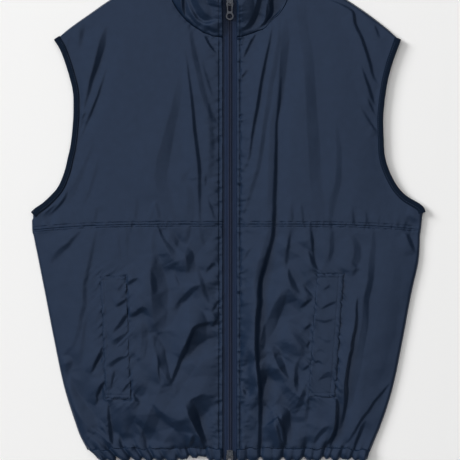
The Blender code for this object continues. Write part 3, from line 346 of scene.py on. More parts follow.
    Crease("hem pull 1", (7, 6), 3.2, ((148, 57), (123, 29))),
    Crease("hem pull 2", (6, 7), 3.2, ((117, 124), (100, 74))),
    Crease("hem pull 3", (5, 6), 2.6, ((117, 101), (113, 62))),
    Crease("hem pull 4", (12, 10), 2.6, ((112, 60), (104, 20))),
    Crease("side under the armpit", (5, 5), 2.8, ((266, 348), (279, 314))),
    Crease("zip corner, top", (4, 4), 1.8, ((31, 324), (19, 300))),
    Crease("zip corner, upper", (5, 5), 2.0, ((14, 289), (22, 265))),
    Crease("zip corner, middle", (8, 6), 2.8, ((27, 169), (17, 130))),
    Crease("zip corner, lower", (5, 5), 2.8, ((11, 119), (28, 99))),
    Crease("in from the welt 1", (4, 4), 2.0, ((104, 233), (125, 246))),
    Crease("in from the welt 2", (3, 4), 1.8, ((113, 201), (125, 210))),
    Crease("in from the welt 3", (4, 4), 2.2, ((113, 175), (124, 187))),
    Crease("in from the welt 4", (4, 4), 2.2, ((109, 138), (122, 149))),
    Crease("in from the welt 5", (4, 4), 2.0, ((110, 266), (127, 248))),
)
WELT_CREASES = (
    Crease("left welt 1", (4, 4), 2.2, ((-155, 246), (-170, 234))),
    Crease("left welt 2", (6, 6), 2.8, ((-152, 227), (-162, 212), (-176, 194))),
    Crease("left welt 3", (5, 9), 3.0, ((-152, 196), (-164, 187), (-177, 178))),
    Crease("left welt 4", (4, 8), 2.6, ((-151, 161), (-166, 155), (-182, 142))),
    Crease("left welt 5", (5, 5), 2.2, ((-171, 139), (-181, 107))),
    Crease("left welt 6", (3, 3), 1.6, ((-152, 119), (-161, 106))),
    Crease("left welt 7", (4, 4), 1.2, ((-157, 268), (-168, 256))),
    Crease("right welt 1", (4, 3), 1.6, ((160, 243), (136, 230))),
    Crease("right welt 2", (3, 3), 1.0, ((125, 216), (142, 211), (158, 217))),
    Crease("right welt 3", (3, 5), 0.9, ((130, 192), (144, 183), (153, 184))),
    Crease("right welt 4", (4, 3), 0.8, ((126, 168), (136, 171), (146, 164))),
    Crease("right welt 5", (4, 3), 1.3, ((124, 148), (133, 152), (143, 145))),
    Crease("right welt 6", (3, 10), 2.2, ((132, 122), (146, 131), (160, 131))),
    Crease("right welt 7", (4, 4), 1.2, ((150, 268), (139, 258))),
)
COLLAR_CREASES = (
    Crease("left side, deep", (6, 5), 8.0, ((-72, 735), (-70, 700), (-69, 680), (-66, 664))),
    Crease("left, long", (5, 5), 5.0,
        ((-66, 710), (-60, 688), (-52, 671), (-44, 663), (-33, 660), (-14, 665))),
    Crease("left, lower", (4, 4), 3.4, ((-64, 672), (-57, 660), (-47, 652), (-36, 646))),
    Crease("left, patch", (12, 12), 5.6, ((-46, 720), (-42, 695), (-36, 683), (-24, 669))),
    Crease("left, by the seam", (4, 4), 2.6, ((-38, 656), (-26, 650), (-16, 645))),
    Crease("left, upper", (10, 8), 4.0, ((-30, 735), (-24, 705), (-13, 688))),
    Crease("right side, deep", (7, 6), 9.0, ((66, 735), (62, 696), (63, 680), (60, 667), (52, 655))),
    Crease("right, long", (8, 7), 7.0, ((50, 720), (45, 694), (40, 675), (30, 657), (14, 648))),
    Crease("right, lower", (5, 4), 4.4, ((57, 690), (55, 664), (41, 650), (15, 641))),
    Crease("right, valley", (30, 24), 10.0, ((22, 740), (24, 700), (24, 676), (16, 656))),
)

# Crumples between the creases: which way they face, their width and height, and the seed of their patches
Crumple = namedtuple("Crumple", "turn size height seed")
CRUMPLES = (
    Crumple(-0.45, 0.048, 0.0022, 15),
    Crumple(0.85, 0.037, 0.0017, 17),
    Crumple(1.90, 0.055, 0.0021, 19),
)

# Puckers beside rows of stitches: the width, reach and height of the ridges, and the seed of their noise
Pucker = namedtuple("Pucker", "size reach height seed")
ZIP_PUCKER = Pucker(0.0056, 0.0090, 0.0015, 11)
ZIP_DRAG = Pucker(0.0090, 0.0200, 0.0006, 13)
SEAM_PUCKER = Pucker(0.0060, 0.0085, 0.0013, 21)
WELT_PUCKER = Pucker(0.0065, 0.0090, 0.0014, 31)
BINDING_PUCKER = Pucker(0.0070, 0.0070, 0.0004, 41)
WELT_FACE_PUCKER = Pucker(0.0062, 0.0065, 0.0012, 51)
NECK_PUCKER = Pucker(0.0060, 0.0070, 0.0009, 61)
COLLAR_ZIP_PUCKER = Pucker(0.0052, 0.0060, 0.0010, 71)
COLLAR_SEAM_PUCKER = Pucker(0.0060, 0.0060, 0.0008, 81)

# A crease's slope runs down to the right and towards the hem, away from the light
DOWN_LIGHT = (0.86, -0.51)
RECOVERY = 0.013
RECOVERY_SHARE = 3.4


def smooth(share):
    share = np.clip(share, 0.0, 1.0)
    return share * share * (3.0 - 2.0 * share)


def rise(distance, reach):
    """0 at the start of a slope, and near 1 two or three reaches on."""
    return 1.0 - np.exp(-np.maximum(distance, 0.0) / reach)


def bell(distance, width):
    return np.exp(-((distance / width) ** 2))


def blend(first, second, share):
    return first + (second - first) * share


def rolled(distance, radius):
    """0 at an edge and 1 a radius in from it, on a quarter circle."""
    share = np.clip(1.0 - distance / radius, 0.0, 1.0)
    return np.sqrt(1.0 - share * share)


def soft_noise(x, y, size_x, size_y, seed):
    """Smooth noise from -1 to 1, in cells of two sizes."""
    column, row = np.floor(x / size_x), np.floor(y / size_y)
    across, along = smooth(x / size_x - column), smooth(y / size_y - row)

    def corner(i, j):
        value = np.sin((column + i) * 127.1 + (row + j) * 311.7 + seed * 74.7) * 43758.5453
        return 2.0 * (value - np.floor(value)) - 1.0

    near = blend(corner(0, 0), corner(1, 0), across)
    far = blend(corner(0, 1), corner(1, 1), across)
    return blend(near, far, along)


# Outline of the vest


def edge_at(rows, side, up):
    """How far out an edge is at each height, on a smooth curve through its rows."""
    ups = np.array([row.up for row in rows])
    outs = np.array([row.left if side < 0 else row.right for row in rows])
    slopes = np.diff(outs) / np.diff(ups)
    tangents = np.concatenate([slopes[:1], (slopes[:-1] + slopes[1:]) / 2, slopes[-1:]])
    up = np.clip(up, ups[0], ups[-1])
    i = np.clip(np.searchsorted(ups, up, side="right") - 1, 0, len(rows) - 2)
    span = ups[i + 1] - ups[i]
    t = (up - ups[i]) / span
    start = (1 + 2 * t) * (1 - t) ** 2 * outs[i] + t * (1 - t) ** 2 * span * tangents[i]
    end = t * t * (3 - 2 * t) * outs[i + 1] - t * t * (1 - t) * span * tangents[i + 1]
    return start + end


def edge_line(rows, side, count=60):
    ups = np.linspace(rows[0].up, rows[-1].up, count)
    return np.stack([edge_at(rows, side, ups), ups], axis=1)


def lengths_along(line):
    """The length of a line of points up to each of them."""
    return np.concatenate([[0.0], np.cumsum(np.linalg.norm(np.diff(line, axis=0), axis=1))])


def nearest_on(line, x, up):
    """Each point's distance to a line, its place along it from 0 to 1, and how far right of it it is."""
    steps = np.diff(line, axis=0)
    lengths = np.hypot(steps[:, 0], steps[:, 1])
    starts = np.concatenate([[0.0], np.cumsum(lengths)])
    best = np.full(x.shape, np.inf)
    along = np.zeros(x.shape)
    right = np.zeros(x.shape)
    for (x0, y0), (dx, dy), length, start in zip(line, steps, lengths, starts):
        share = np.clip(((x - x0) * dx + (up - y0) * dy) / length**2, 0.0, 1.0)
        off_x, off_y = x - x0 - share * dx, up - y0 - share * dy
        distance = np.hypot(off_x, off_y)
        closer = distance < best
        best = np.where(closer, distance, best)
        along = np.where(closer, (start + share * length) / starts[-1], along)
        right = np.where(closer, np.sign(off_x * dy - off_y * dx) * distance, right)
    return best, along, right


SIDE_LINES = {side: edge_line(SIDE_SEAM, side) for side in SIDES}
ARMHOLE_LINES = {side: edge_line(ARMHOLE, side, 90) for side in SIDES}
SHOULDER_LINES = {side: edge_line(SHOULDER, side) for side in SIDES}

FIRST_NECK_ANGLE = math.asin(ZIP_HALF / NECK_HALF)
NECK_ANGLES = np.linspace(FIRST_NECK_ANGLE, math.pi / 2, 60)
NECK_LINE = np.stack([NECK_HALF * np.sin(NECK_ANGLES), NECK_POINT - NECK_DROP * np.cos(NECK_ANGLES)], axis=1)
FRONT_NECK = NECK_LINE[0, 1]


def armhole_slant(side, up):
    """How much longer a step across the armhole's edge is along a row than square to the edge."""
    step = 0.002
    high = np.minimum(np.maximum(up, PIT) + step, SHOULDER_TIP)
    low = np.maximum(np.minimum(up, SHOULDER_TIP) - step, PIT)
    slope = (edge_at(ARMHOLE, side, high) - edge_at(ARMHOLE, side, low)) / (high - low)
    return np.sqrt(1.0 + slope * slope)


def panel_edge(side, up):
    """The outer edge of a front or back: side seam, then inside the armhole binding, then shoulder."""
    seam = edge_at(SIDE_SEAM, side, up)
    bound = edge_at(ARMHOLE, side, up) - RAW_EDGE_INSET * armhole_slant(side, up)
    tuck = TIP_TUCK * (1.0 - smooth((up - SHOULDER_TIP) / (2 * BINDING_WIDTH)))
    shoulder = edge_at(SHOULDER, side, up) - tuck
    low = np.where(up < PIT - BINDING_ZONE, seam, np.minimum(seam, bound))
    middle = np.where(up > PIT, bound, low)
    return np.where(up > SHOULDER_TIP, shoulder, middle)


def line_noise(along, size, seed):
    """Smooth noise from -1 to 1 along a line."""
    return soft_noise(along, along, size, size, seed)


def hem_wave(out):
    """How far the hem's seam strays."""
    return 0.0022 * line_noise(out, 0.019, 141) + 0.0014 * line_noise(out, 0.008, 143)


def hem_width(side):
    """How far out the side seam is at the hem's seam."""
    return float(edge_at(SIDE_SEAM, side, HEM_HEIGHT))


def neck_sway(side, out):
    """How far the collar's seam strays between the zip and the shoulder."""
    held = smooth((out - PLACKET) / 0.010) * smooth((NECK_HALF - out) / 0.020)
    stray = 0.0014 * line_noise(out, 0.013, 151 + side)
    return held * (stray + 0.0006 * line_noise(out, 0.006, 155 + side))


def seam_sag(out, up):
    """The yoke seam runs a little lower towards the side seams, and the hem's seam wavers."""
    sag = YOKE_SEAM_SAG * (out / CHEST_HALF) ** 4 * bell(up - YOKE_SEAM, 0.012)
    return sag + hem_wave(out) * bell(up - HEM_HEIGHT, 0.010)


# Creases, gathers and puckers


def curve_through(points, steps=6):
    """A smooth line through given points."""
    points = np.array(points, float)
    padded = np.concatenate([[2 * points[0] - points[1]], points, [2 * points[-1] - points[-2]]])
    line = []
    for i in range(len(points) - 1):
        before, start, end, after = padded[i : i + 4]
        for t in np.arange(steps) / steps:
            bend = 2 * start + (end - before) * t + (2 * before - 5 * start + 4 * end - after) * t**2
            line.append((bend + (3 * start - before - 3 * end + after) * t**3) / 2)
    line.append(points[-1])
    return np.array(line)


def step_shape(downhill, half, recovery):
    """A ridge, a straight slope of two halves' width and a trough, each easing back to level."""
    beyond = np.clip((np.abs(downhill) - half) / recovery, 0.0, 1.0)
    height = np.where(beyond > 0, 0.5 + 0.5 * np.cos(math.pi * beyond), np.abs(downhill) / half)
    return -np.sign(downhill) * height


def width_along(widths, along):
    if len(widths) == 2:
        return np.interp(along, (0.0, 0.2, 0.8, 1.0), (0.3 * widths[0], *widths, 0.3 * widths[1]))
    return np.interp(along, np.linspace(0.0, 1.0, len(widths)), widths)


def crease_relief(creases, x, up):
    """How far the creases lift or lower the cloth at each point."""
    relief = np.zeros(x.shape)
    for crease in creases:
        line = curve_through(crease.points) * MM
        widest = max(crease.widths)
        reach = widest * MM / 2 * (1 + RECOVERY_SHARE) + RECOVERY
        low, high = line.min(axis=0) - reach, line.max(axis=0) + reach
        near = (x > low[0]) & (x < high[0]) & (up > low[1]) & (up < high[1])
        if not near.any():
            continue
        _, along, right = nearest_on(line, x[near], up[near])
        run = line[-1] - line[0]
        facing = math.copysign(1.0, run[1] * DOWN_LIGHT[0] - run[0] * DOWN_LIGHT[1])
        width = width_along(crease.widths, along)
        ends = np.maximum(np.sin(math.pi * along), 0.0) ** 0.6
        half = width * MM / 2
        shape = step_shape(facing * right, half, RECOVERY_SHARE * half + RECOVERY)
        relief[near] += crease.drop * MM / 2 * np.sqrt(width / widest) * ends * shape
    return relief


def wandering(x, up):
    """Places moved a little about, so that creases run unevenly, and the long ones on the yokes the least."""
    far = blend(0.0019, 0.0007, smooth((up - YOKE_SEAM) / 0.03 + 0.5))
    shift_x = soft_noise(x, up, 0.024, 0.030, 131) + 0.3 * soft_noise(x, up, 0.009, 0.010, 133)
    shift_up = soft_noise(x, up, 0.027, 0.024, 135) + 0.3 * soft_noise(x, up, 0.010, 0.009, 137)
    return x + far * shift_x, up + far * shift_up


def crumple(side, out, up):
    """Flat facets that meet in creases, in patches between zip and pocket welt."""
    x = side * out
    relief = np.zeros(x.shape)
    for fold in CRUMPLES:
        run = x * math.cos(fold.turn) + up * math.sin(fold.turn)
        wave = run / fold.size + 0.35 * soft_noise(x, up, 0.050, 0.060, fold.seed)
        patch = smooth(0.5 + 0.9 * soft_noise(x, up, 0.055, 0.070, fold.seed + 1))
        relief += fold.height * (np.abs(2 * (wave - np.floor(wave)) - 1) - 0.5) * patch
    inside_welt = smooth((WELTS[side].inner_low + 0.015 - out) / 0.025)
    return relief * smooth((YOKE_SEAM - up) / 0.03) * (0.15 + 0.85 * inside_welt)


def gather_relief(side, out, up):
    """Troughs drawn in at the hem, which fan out and fade up the front, with puffs between them."""
    at_hem = out * hem_width(side) / edge_at(SIDE_SEAM, side, up)
    above = np.maximum(up - HEM_HEIGHT, 0.0)
    width = TROUGH_WIDTH + 0.12 * above
    relief = np.zeros(up.shape)
    for trough in GATHERS[side]:
        drawn_in = np.exp(-above / (trough.reach * MM)) / (1.0 + ((at_hem - trough.out * MM) / width) ** 2)
        relief -= trough.depth * MM * drawn_in
    return relief + GATHER_PUFF * np.exp(-above / 0.012)


def pucker(row, along, across, side=0):
    """Short ridges square to a row of stitches, dying out away from it."""
    waves = soft_noise(along + 0.35 * across, across, row.size, 3 * row.size, row.seed + side)
    fine = soft_noise(along - 0.2 * across, across, 0.55 * row.size, 2 * row.size, row.seed + side + 5)
    return row.height * (0.7 * waves + 0.45 * fine) * np.exp(-np.abs(across) / row.reach)


def welt_edges(side, up):
    """How far out a welt's two long edges are at each height."""
    welt = WELTS[side]
    along = (up - welt.low) / (welt.high - welt.low)
    return blend(welt.inner_low, welt.inner_high, along), blend(welt.outer_low, welt.outer_high, along)


def welt_place(side, out, up):
    """A point's place on a pocket welt, from -1 to 1 across and along it."""
    welt = WELTS[side]
    inner, outer = welt_edges(side, up)
    return 2 * (out - inner) / (outer - inner) - 1, 2 * (up - welt.low) / (welt.high - welt.low) - 1


def from_welt(side, out, up):
    """Distance outside a welt's edge, negative inside it."""
    welt = WELTS[side]
    across, along = welt_place(side, out, up)
    side_gap = (np.abs(across) - 1) * (welt.outer_low - welt.inner_low) / 2
    end_gap = (np.abs(along) - 1) * (welt.high - welt.low) / 2
    outside = np.hypot(np.maximum(side_gap, 0.0), np.maximum(end_gap, 0.0))
    return np.where(outside > 0, outside, np.maximum(side_gap, end_gap))


# Height of the front


def edge_distance(side, out, up):
    from_side = nearest_on(SIDE_LINES[side], out, up)[0]
    from_shoulder = nearest_on(SHOULDER_LINES[side], out, up)[0]
    return np.minimum(from_side, from_shoulder)


def front_base(side, out, up):
    """The front without its creases: lofted inside, low along its edges, level at zip and bindings."""
    from_edge = edge_distance(side, out, up)
    top = blend(EDGE_TOP, LOFT, rise(from_edge, 0.062))
    neck_top = blend(EDGE_TOP, ZIP_TOP, np.clip((NECK_POINT - up) / NECK_DROP, 0.0, 1.0))
    top = blend(neck_top, top, rise(nearest_on(NECK_LINE, out, up)[0], 0.020))
    top = blend(np.minimum(HEM_TOP, top), top, rise(up - HEM_HEIGHT, 0.022))
    top = blend(ZIP_TOP, np.maximum(top, EDGE_TOP), rise(out - PLACKET, 0.018))
    beside_binding = nearest_on(ARMHOLE_LINES[side], out, up)[0] - BINDING_ZONE
    return blend(BOUND_TOP, top, rise(beside_binding, 0.045))


def front_top(side, out, up):
    """The height of the front's outer face, with every crease, gather, pucker and row of stitches."""
    x = side * out
    from_edge = edge_distance(side, out, up)
    from_binding = nearest_on(ARMHOLE_LINES[side], out, up)[0] - BINDING_ZONE
    from_neck = nearest_on(NECK_LINE, out, up)[0]
    from_seam = up - YOKE_SEAM
    from_placket = out - PLACKET
    outside_welt = from_welt(side, out, up)
    free = smooth(from_edge / 0.012) * smooth(from_binding / 0.007 + 0.15) * smooth(from_neck / 0.006)
    free *= smooth((out - ZIP_HALF) / 0.012) * (0.25 + 0.75 * smooth(outside_welt / 0.004))
    over_hem = 0.5 + 0.5 * smooth((up - HEM_HEIGHT) / 0.012)
    relief = crease_relief(CREASES, *wandering(x, up)) * free * over_hem
    relief += 0.0007 * soft_noise(x, up, 0.061, 0.083, 3) * free
    relief += 0.00022 * soft_noise(x, up, 0.019, 0.024, 9) * free
    relief += crumple(side, out, up) * free
    relief += gather_relief(side, out, up) * smooth(from_placket / 0.006) * smooth(from_edge / 0.006)
    relief += pucker(ZIP_PUCKER, up, from_placket, side)
    relief += pucker(ZIP_DRAG, up - 0.9 * from_placket, from_placket, side)
    relief += pucker(SEAM_PUCKER, x, from_seam)
    relief += pucker(WELT_PUCKER, up + out, np.maximum(outside_welt, 0.0), side)
    relief += pucker(NECK_PUCKER, up + out, from_neck)
    relief += pucker(BINDING_PUCKER, up, from_binding, side) * smooth(from_binding / 0.002)
    relief -= 0.0006 * smooth(-outside_welt / 0.002)
    relief -= 0.0004 * bell(from_seam, 0.0009)
    sewn = 0.0005 * (1.0 + line_noise(x, 0.006, 25))
    for row in SEAM_ROWS:
        relief -= sewn * bell(from_seam - row, 0.0008)
    relief -= 0.0009 * bell(from_placket, 0.0008)
    relief -= 0.0005 * bell(up - HEM_HEIGHT, 0.0020)
    top = np.clip(front_base(side, out, up) + relief, LOWEST_FRONT, HIGHEST_FRONT)
    top = blend(TAPE_TOP + CLOTH, top, rolled(out - ZIP_HALF, ZIP_ROLL))
    return blend(SEAM_Z, top, rolled(from_edge, EDGE_ROLL))


def on_front(side, outs, ups):
    """Points on the front's outer face."""
    return np.stack([side * outs, ups - seam_sag(outs, ups), front_top(side, outs, ups)], axis=-1)


def welt_top(side, out, up):
    """The height of a pocket welt's face, on the smooth front under it."""
    inside = -from_welt(side, out, up)
    places = wandering(side * out, up)
    relief = crease_relief(WELT_CREASES, *places) * smooth(inside / 0.003)
    relief += 0.4 * crease_relief(CREASES, *places)
    relief += pucker(WELT_FACE_PUCKER, up + out, inside - 0.001, side)
    across, along = welt_place(side, out, up)
    end_rows = np.abs(along) * (WELTS[side].high - WELTS[side].low) / 2 - WELT_END_ROW
    sewn = bell(inside - 0.0012, 0.0006) + bell(across - WELT_OUTER_ROW, 0.035) + bell(end_rows, 0.0007)
    edge = blend(-0.0002, WELT_RISE, rolled(inside, WELT_ROLL))
    return front_base(side, out, up) + relief - 0.0005 * sewn + edge


# Meshes


def graded(start, end, step, *lines):
    """Even steps from start to end, with finer ones beside each given line."""
    marks = [np.linspace(start, end, max(2, round((end - start) / step) + 1))]
    for line in lines:
        marks += [line - FINE_STEPS, line + FINE_STEPS]
    marks = np.unique(np.concatenate(marks))
    marks = marks[(marks >= start) & (marks <= end)]
    kept = [start]
    for mark in marks[1:-1]:
        if mark - kept[-1] > CLOSEST and end - mark > CLOSEST:
            kept.append(mark)
    return np.array(kept + [end])


def rows_across(rows, count):
    """The heights of a grid's rows, at each place across them."""
    return np.repeat(rows[:, None], count, axis=1)


def grid_faces(rows, columns, wrap=False):
    index = np.arange(rows * columns).reshape(rows, columns)
    if wrap:
        index = np.concatenate([index, index[:, :1]], axis=1)
    corners = (index[:-1, :-1], index[:-1, 1:], index[1:, 1:], index[1:, :-1])
    return np.stack(corners, axis=-1).reshape(-1, 4)


def place_object(name, data):
    """Puts a mesh, a light or a camera in the scene."""
    placed = bpy.data.objects.new(name, data)
    bpy.context.scene.collection.objects.link(placed)
    return placed


def add_piece(name, points, faces, material, replaces=()):
    """A smooth-shaded piece at points (x, up, z), riding on the vest."""
    placed = np.asarray(points).reshape(-1, 3) + (ZIP_X, HEM_Y, 0.0)
    mesh = bpy.data.meshes.new(name)
    mesh.from_pydata(placed.tolist(), [], faces.tolist())
    mesh.materials.append(material)
    mesh.shade_smooth()
    piece = place_object(name, mesh)
    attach(piece, "vest")
    if replaces:
        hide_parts(*replaces)
    return piece


def add_cloth(name, grid, material, replaces, wall=CLOTH, under=None):
    """A sheet on a grid of points that face up, with its wall below it, and a material for its underside."""
    piece = add_piece(name, grid, grid_faces(*grid.shape[:2]), material, replaces)
    solidify = piece.modifiers.new("wall", "SOLIDIFY")
    solidify.thickness = wall
    solidify.offset = -1.0
    if under:
        piece.data.materials.append(under)
        solidify.material_offset = 1
    return piece


def facing_up(side, grid):
    """Left pieces run their columns the other way, so that their faces look up too."""
    return grid[:, ::-1] if side < 0 else grid


# Materials

# A wave texture's bands are this far apart at a scale of 1
BAND = 0.314


def linear(hex_colour):
    """An sRGB hex colour as linear red, green, blue and alpha."""
    shares = [int(hex_colour[i : i + 2], 16) / 255 for i in (1, 3, 5)]
    return [s / 12.92 if s <= 0.04045 else ((s + 0.055) / 1.055) ** 2.4 for s in shares] + [1.0]


def new_material(name):
    material = bpy.data.materials.new(name)
    material.use_nodes = True
    return material


def add_node(material, kind, inputs=(), **settings):
    """Adds a node with its settings; an input is a value, or an output socket to link."""
    tree = material.node_tree
    node = tree.nodes.new(kind) if kind != "surface" else tree.nodes["Principled BSDF"]
    for key, value in settings.items():
        setattr(node, key, value)
    for key, value in dict(inputs).items():
        if isinstance(value, bpy.types.NodeSocket):
            tree.links.new(value, node.inputs[key])
        else:
            node.inputs[key].default_value = value
    return node


def nylon_taffeta():
    """Plain-woven nylon, calendered: nearly even navy with a low silky sheen and a fine thread grain."""
    material = new_material("navy nylon taffeta, woven and calendered")
    place = add_node(material, "ShaderNodeTexCoord").outputs["Object"]
    # Threads 0.6 mm apart, because the real ones are too fine to show
    threads = {"Vector": place, "Scale": BAND / 0.0006, "Distortion": 0.6, "Detail": 1.0}
    warp = add_node(material, "ShaderNodeTexWave", threads, bands_direction="X").outputs["Fac"]
    weft = add_node(material, "ShaderNodeTexWave", threads, bands_direction="Y").outputs["Fac"]
    weave = add_node(material, "ShaderNodeMath", {0: warp, 1: weft}, operation="MULTIPLY").outputs[0]
    # Crinkles about 11 mm across
    patches = {"Vector": place, "Scale": 1 / 0.011, "Detail": 3.0, "Roughness": 0.5}
    crinkle = add_node(material, "ShaderNodeTexNoise", patches).outputs["Fac"]
    limits = {"Value": crinkle, "From Min": 0.3, "From Max": 0.7}
    shade = add_node(material, "ShaderNodeMapRange", limits).outputs["Result"]
    tones = {0: shade, 6: linear("#0f1d30"), 7: linear("#132135")}
    soft = {"Height": crinkle, "Strength": 0.35, "Distance": 0.0006}
    soft_bump = add_node(material, "ShaderNodeBump", soft).outputs[0]
    fine = {"Height": weave, "Strength": 0.15, "Distance": 0.0001, "Normal": soft_bump}
    finish = {
        "Base Color": add_node(material, "ShaderNodeMix", tones, data_type="RGBA").outputs[2],
        "Roughness": 0.38,
        "IOR": 1.5,
        "Specular IOR Level": 0.72,
        "Specular Tint": linear("#a9bbe0"),
        "Normal": add_node(material, "ShaderNodeBump", fine).outputs[0],
    }
    add_node(material, "surface", finish)
    return material


def knit_binding():
    """Elastane rib knit, matt and darker than the shell: narrow ribs across the strip soak up the light."""
    material = new_material("dark navy elastane rib knit")
    strip = add_node(material, "ShaderNodeUVMap", uv_map="strip").outputs["UV"]
    # Ribs 1.6 mm apart, with hairs of 1.2 mm
    knit = {"Vector": strip, "Scale": BAND / 0.0016, "Distortion": 1.2, "Detail": 1.0}
    ribs = add_node(material, "ShaderNodeTexWave", knit, bands_direction="X").outputs["Fac"]
    hairs = {"Vector": strip, "Scale": 1 / 0.0012, "Detail": 2.0}
    fuzz = add_node(material, "ShaderNodeTexNoise", hairs).outputs["Fac"]
    height = add_node(material, "ShaderNodeMath", {0: ribs, 1: fuzz}, operation="ADD").outputs[0]
    relief = {"Height": height, "Strength": 0.5, "Distance": 0.0003}
    tones = {0: fuzz, 6: linear("#0a1524"), 7: linear("#131f30")}
    finish = {
        "Base Color": add_node(material, "ShaderNodeMix", tones, data_type="RGBA").outputs[2],
        "Roughness": 0.9,
        "Specular IOR Level": 0.15,
        "Normal": add_node(material, "ShaderNodeBump", relief).outputs[0],
    }
    add_node(material, "surface", finish)
    return material


def zip_tape_weave():
    """Woven polyester tape: fine lengthwise ribs, a touch greyer and more purple than the shell."""
    material = new_material("navy polyester zip tape, woven")
    place = add_node(material, "ShaderNodeTexCoord").outputs["Object"]
    # Ribs 1.1 mm apart and picks 0.8 mm apart, drawn coarser than they are woven, so that they show
    lengthwise = {"Vector": place, "Scale": BAND / 0.0011, "Distortion": 0.3}
    ribs = add_node(material, "ShaderNodeTexWave", lengthwise, bands_direction="X").outputs["Fac"]
    crosswise = {"Vector": place, "Scale": BAND / 0.0008, "Distortion": 0.5}
    picks = add_node(material, "ShaderNodeTexWave", crosswise, bands_direction="Y").outputs["Fac"]
    height = add_node(material, "ShaderNodeMath", {0: ribs, 1: picks}, operation="MULTIPLY").outputs[0]
    relief = {"Height": height, "Strength": 0.4, "Distance": 0.0002}
    tones = {0: height, 6: linear("#14233c"), 7: linear("#1f2f4c")}
    finish = {
        "Base Color": add_node(material, "ShaderNodeMix", tones, data_type="RGBA").outputs[2],
        "Roughness": 0.7,
        "Specular IOR Level": 0.3,
        "Normal": add_node(material, "ShaderNodeBump", relief).outputs[0],
    }
    add_node(material, "surface", finish)
    return material


def coil_monofilament():
    """Dyed polyester monofilament, drawn smooth, so that each loop carries a thin gloss."""
    material = new_material("navy polyester coil, drawn")
    place = add_node(material, "ShaderNodeTexCoord").outputs["Object"]
    # The dye varies every 3 mm or so
    specks = add_node(material, "ShaderNodeTexNoise", {"Vector": place, "Scale": 1 / 0.003}).outputs["Fac"]
    tones = {0: specks, 6: linear("#222a3e"), 7: linear("#2b3349")}
    colour = add_node(material, "ShaderNodeMix", tones, data_type="RGBA").outputs[2]
    add_node(material, "surface", {"Base Color": colour, "Roughness": 0.42, "Specular IOR Level": 0.4})
    return material


def sewing_thread():
    """Twisted polyester thread, a shade lighter than the shell where it stands up to the light."""
    material = new_material("navy polyester thread, twisted")
    place = add_node(material, "ShaderNodeTexCoord").outputs["Object"]
    # The plies turn every 0.5 mm
    plies = {"Vector": place, "Scale": BAND / 0.0005}
    twist = add_node(material, "ShaderNodeTexWave", plies, bands_direction="DIAGONAL").outputs["Fac"]
    relief = {"Height": twist, "Strength": 0.4, "Distance": 0.0001}
    bump = add_node(material, "ShaderNodeBump", relief).outputs[0]
    tones = {0: twist, 6: linear("#222f45"), 7: linear("#33425c")}
    colour = add_node(material, "ShaderNodeMix", tones, data_type="RGBA").outputs[2]
    add_node(material, "surface", {"Base Color": colour, "Roughness": 0.55, "Normal": bump})
    return material


def fleece_pile():
    """Brushed polyester fleece: a short matt pile that catches light at its edges."""
    material = new_material("navy polyester fleece, brushed")
    place = add_node(material, "ShaderNodeTexCoord").outputs["Object"]
    # Pile of 2.2 mm, in tufts 4 mm across
    fibres = {"Vector": place, "Scale": 1 / 0.0022, "Detail": 4.0}
    pile = add_node(material, "ShaderNodeTexNoise", fibres).outputs["Fac"]
    cells = add_node(material, "ShaderNodeTexVoronoi", {"Vector": place, "Scale": 1 / 0.004})
    heights = {0: pile, 1: cells.outputs["Distance"]}
    height = add_node(material, "ShaderNodeMath", heights, operation="SUBTRACT").outputs[0]
    relief = {"Height": height, "Strength": 0.9, "Distance": 0.0012}
    tones = {0: pile, 6: linear("#141d30"), 7: linear("#2a3752")}
    finish = {
        "Base Color": add_node(material, "ShaderNodeMix", tones, data_type="RGBA").outputs[2],
        "Roughness": 0.95,
        "Specular IOR Level": 0.1,
        "Sheen Weight": 0.2,
        "Sheen Roughness": 0.6,
        "Sheen Tint": linear("#4a5874"),
        "Normal": add_node(material, "ShaderNodeBump", relief).outputs[0],
    }
    add_node(material, "surface", finish)
    return material


def gunmetal_plate():
    """Zinc castings with a dark nickel plate, tumbled: smooth grey metal, with a painted highlight that makes
    its edges lighter.
    """
    material = new_material("zinc alloy, gunmetal plated and tumbled")
    place = add_node(material, "ShaderNodeTexCoord").outputs["Object"]
    # Painted highlight: the base colour turns lighter where the rounded edges bend away from the flat faces
    edges = add_node(material, "ShaderNodeBevel", {"Radius": 0.0004}, samples=4).outputs["Normal"]
    face = add_node(material, "ShaderNodeNewGeometry").outputs["Normal"]
    turn = add_node(material, "ShaderNodeVectorMath", {0: edges, 1: face}, operation="DOT_PRODUCT")
    bends = {"Value": turn.outputs["Value"], "From Min": 0.98, "From Max": 0.85}
    edge_highlight = add_node(material, "ShaderNodeMapRange", bends).outputs["Result"]
    tones = {0: edge_highlight, 6: linear("#4a4d54"), 7: linear("#a9acb2")}
    colour = add_node(material, "ShaderNodeMix", tones, data_type="RGBA").outputs[2]
    # Tumbling marks about 2.5 mm across
    marks = {"Vector": place, "Scale": 1 / 0.0025, "Detail": 3.0}
    wear = add_node(material, "ShaderNodeTexNoise", marks).outputs["Fac"]
    rough = add_node(material, "ShaderNodeMapRange", {"Value": wear, "To Min": 0.24, "To Max": 0.4})
    finish = {"Base Color": colour, "Metallic": 1.0, "Roughness": rough.outputs["Result"]}
    add_node(material, "surface", finish)
    return material


def pale_floor():
    """Matt white board, which takes soft shadows and no gloss."""
    material = new_material("pale studio floor, matt")
    finish = {"Base Color": linear("#f8f8f8"), "Roughness": 0.9, "Specular IOR Level": 0.1}
    add_node(material, "surface", finish)
    return material


NYLON = nylon_taffeta()
KNIT = knit_binding()
TAPE = zip_tape_weave()
COIL = coil_monofilament()
THREAD = sewing_thread()
FLEECE = fleece_pile()
GUNMETAL = gunmetal_plate()


# Fronts and back


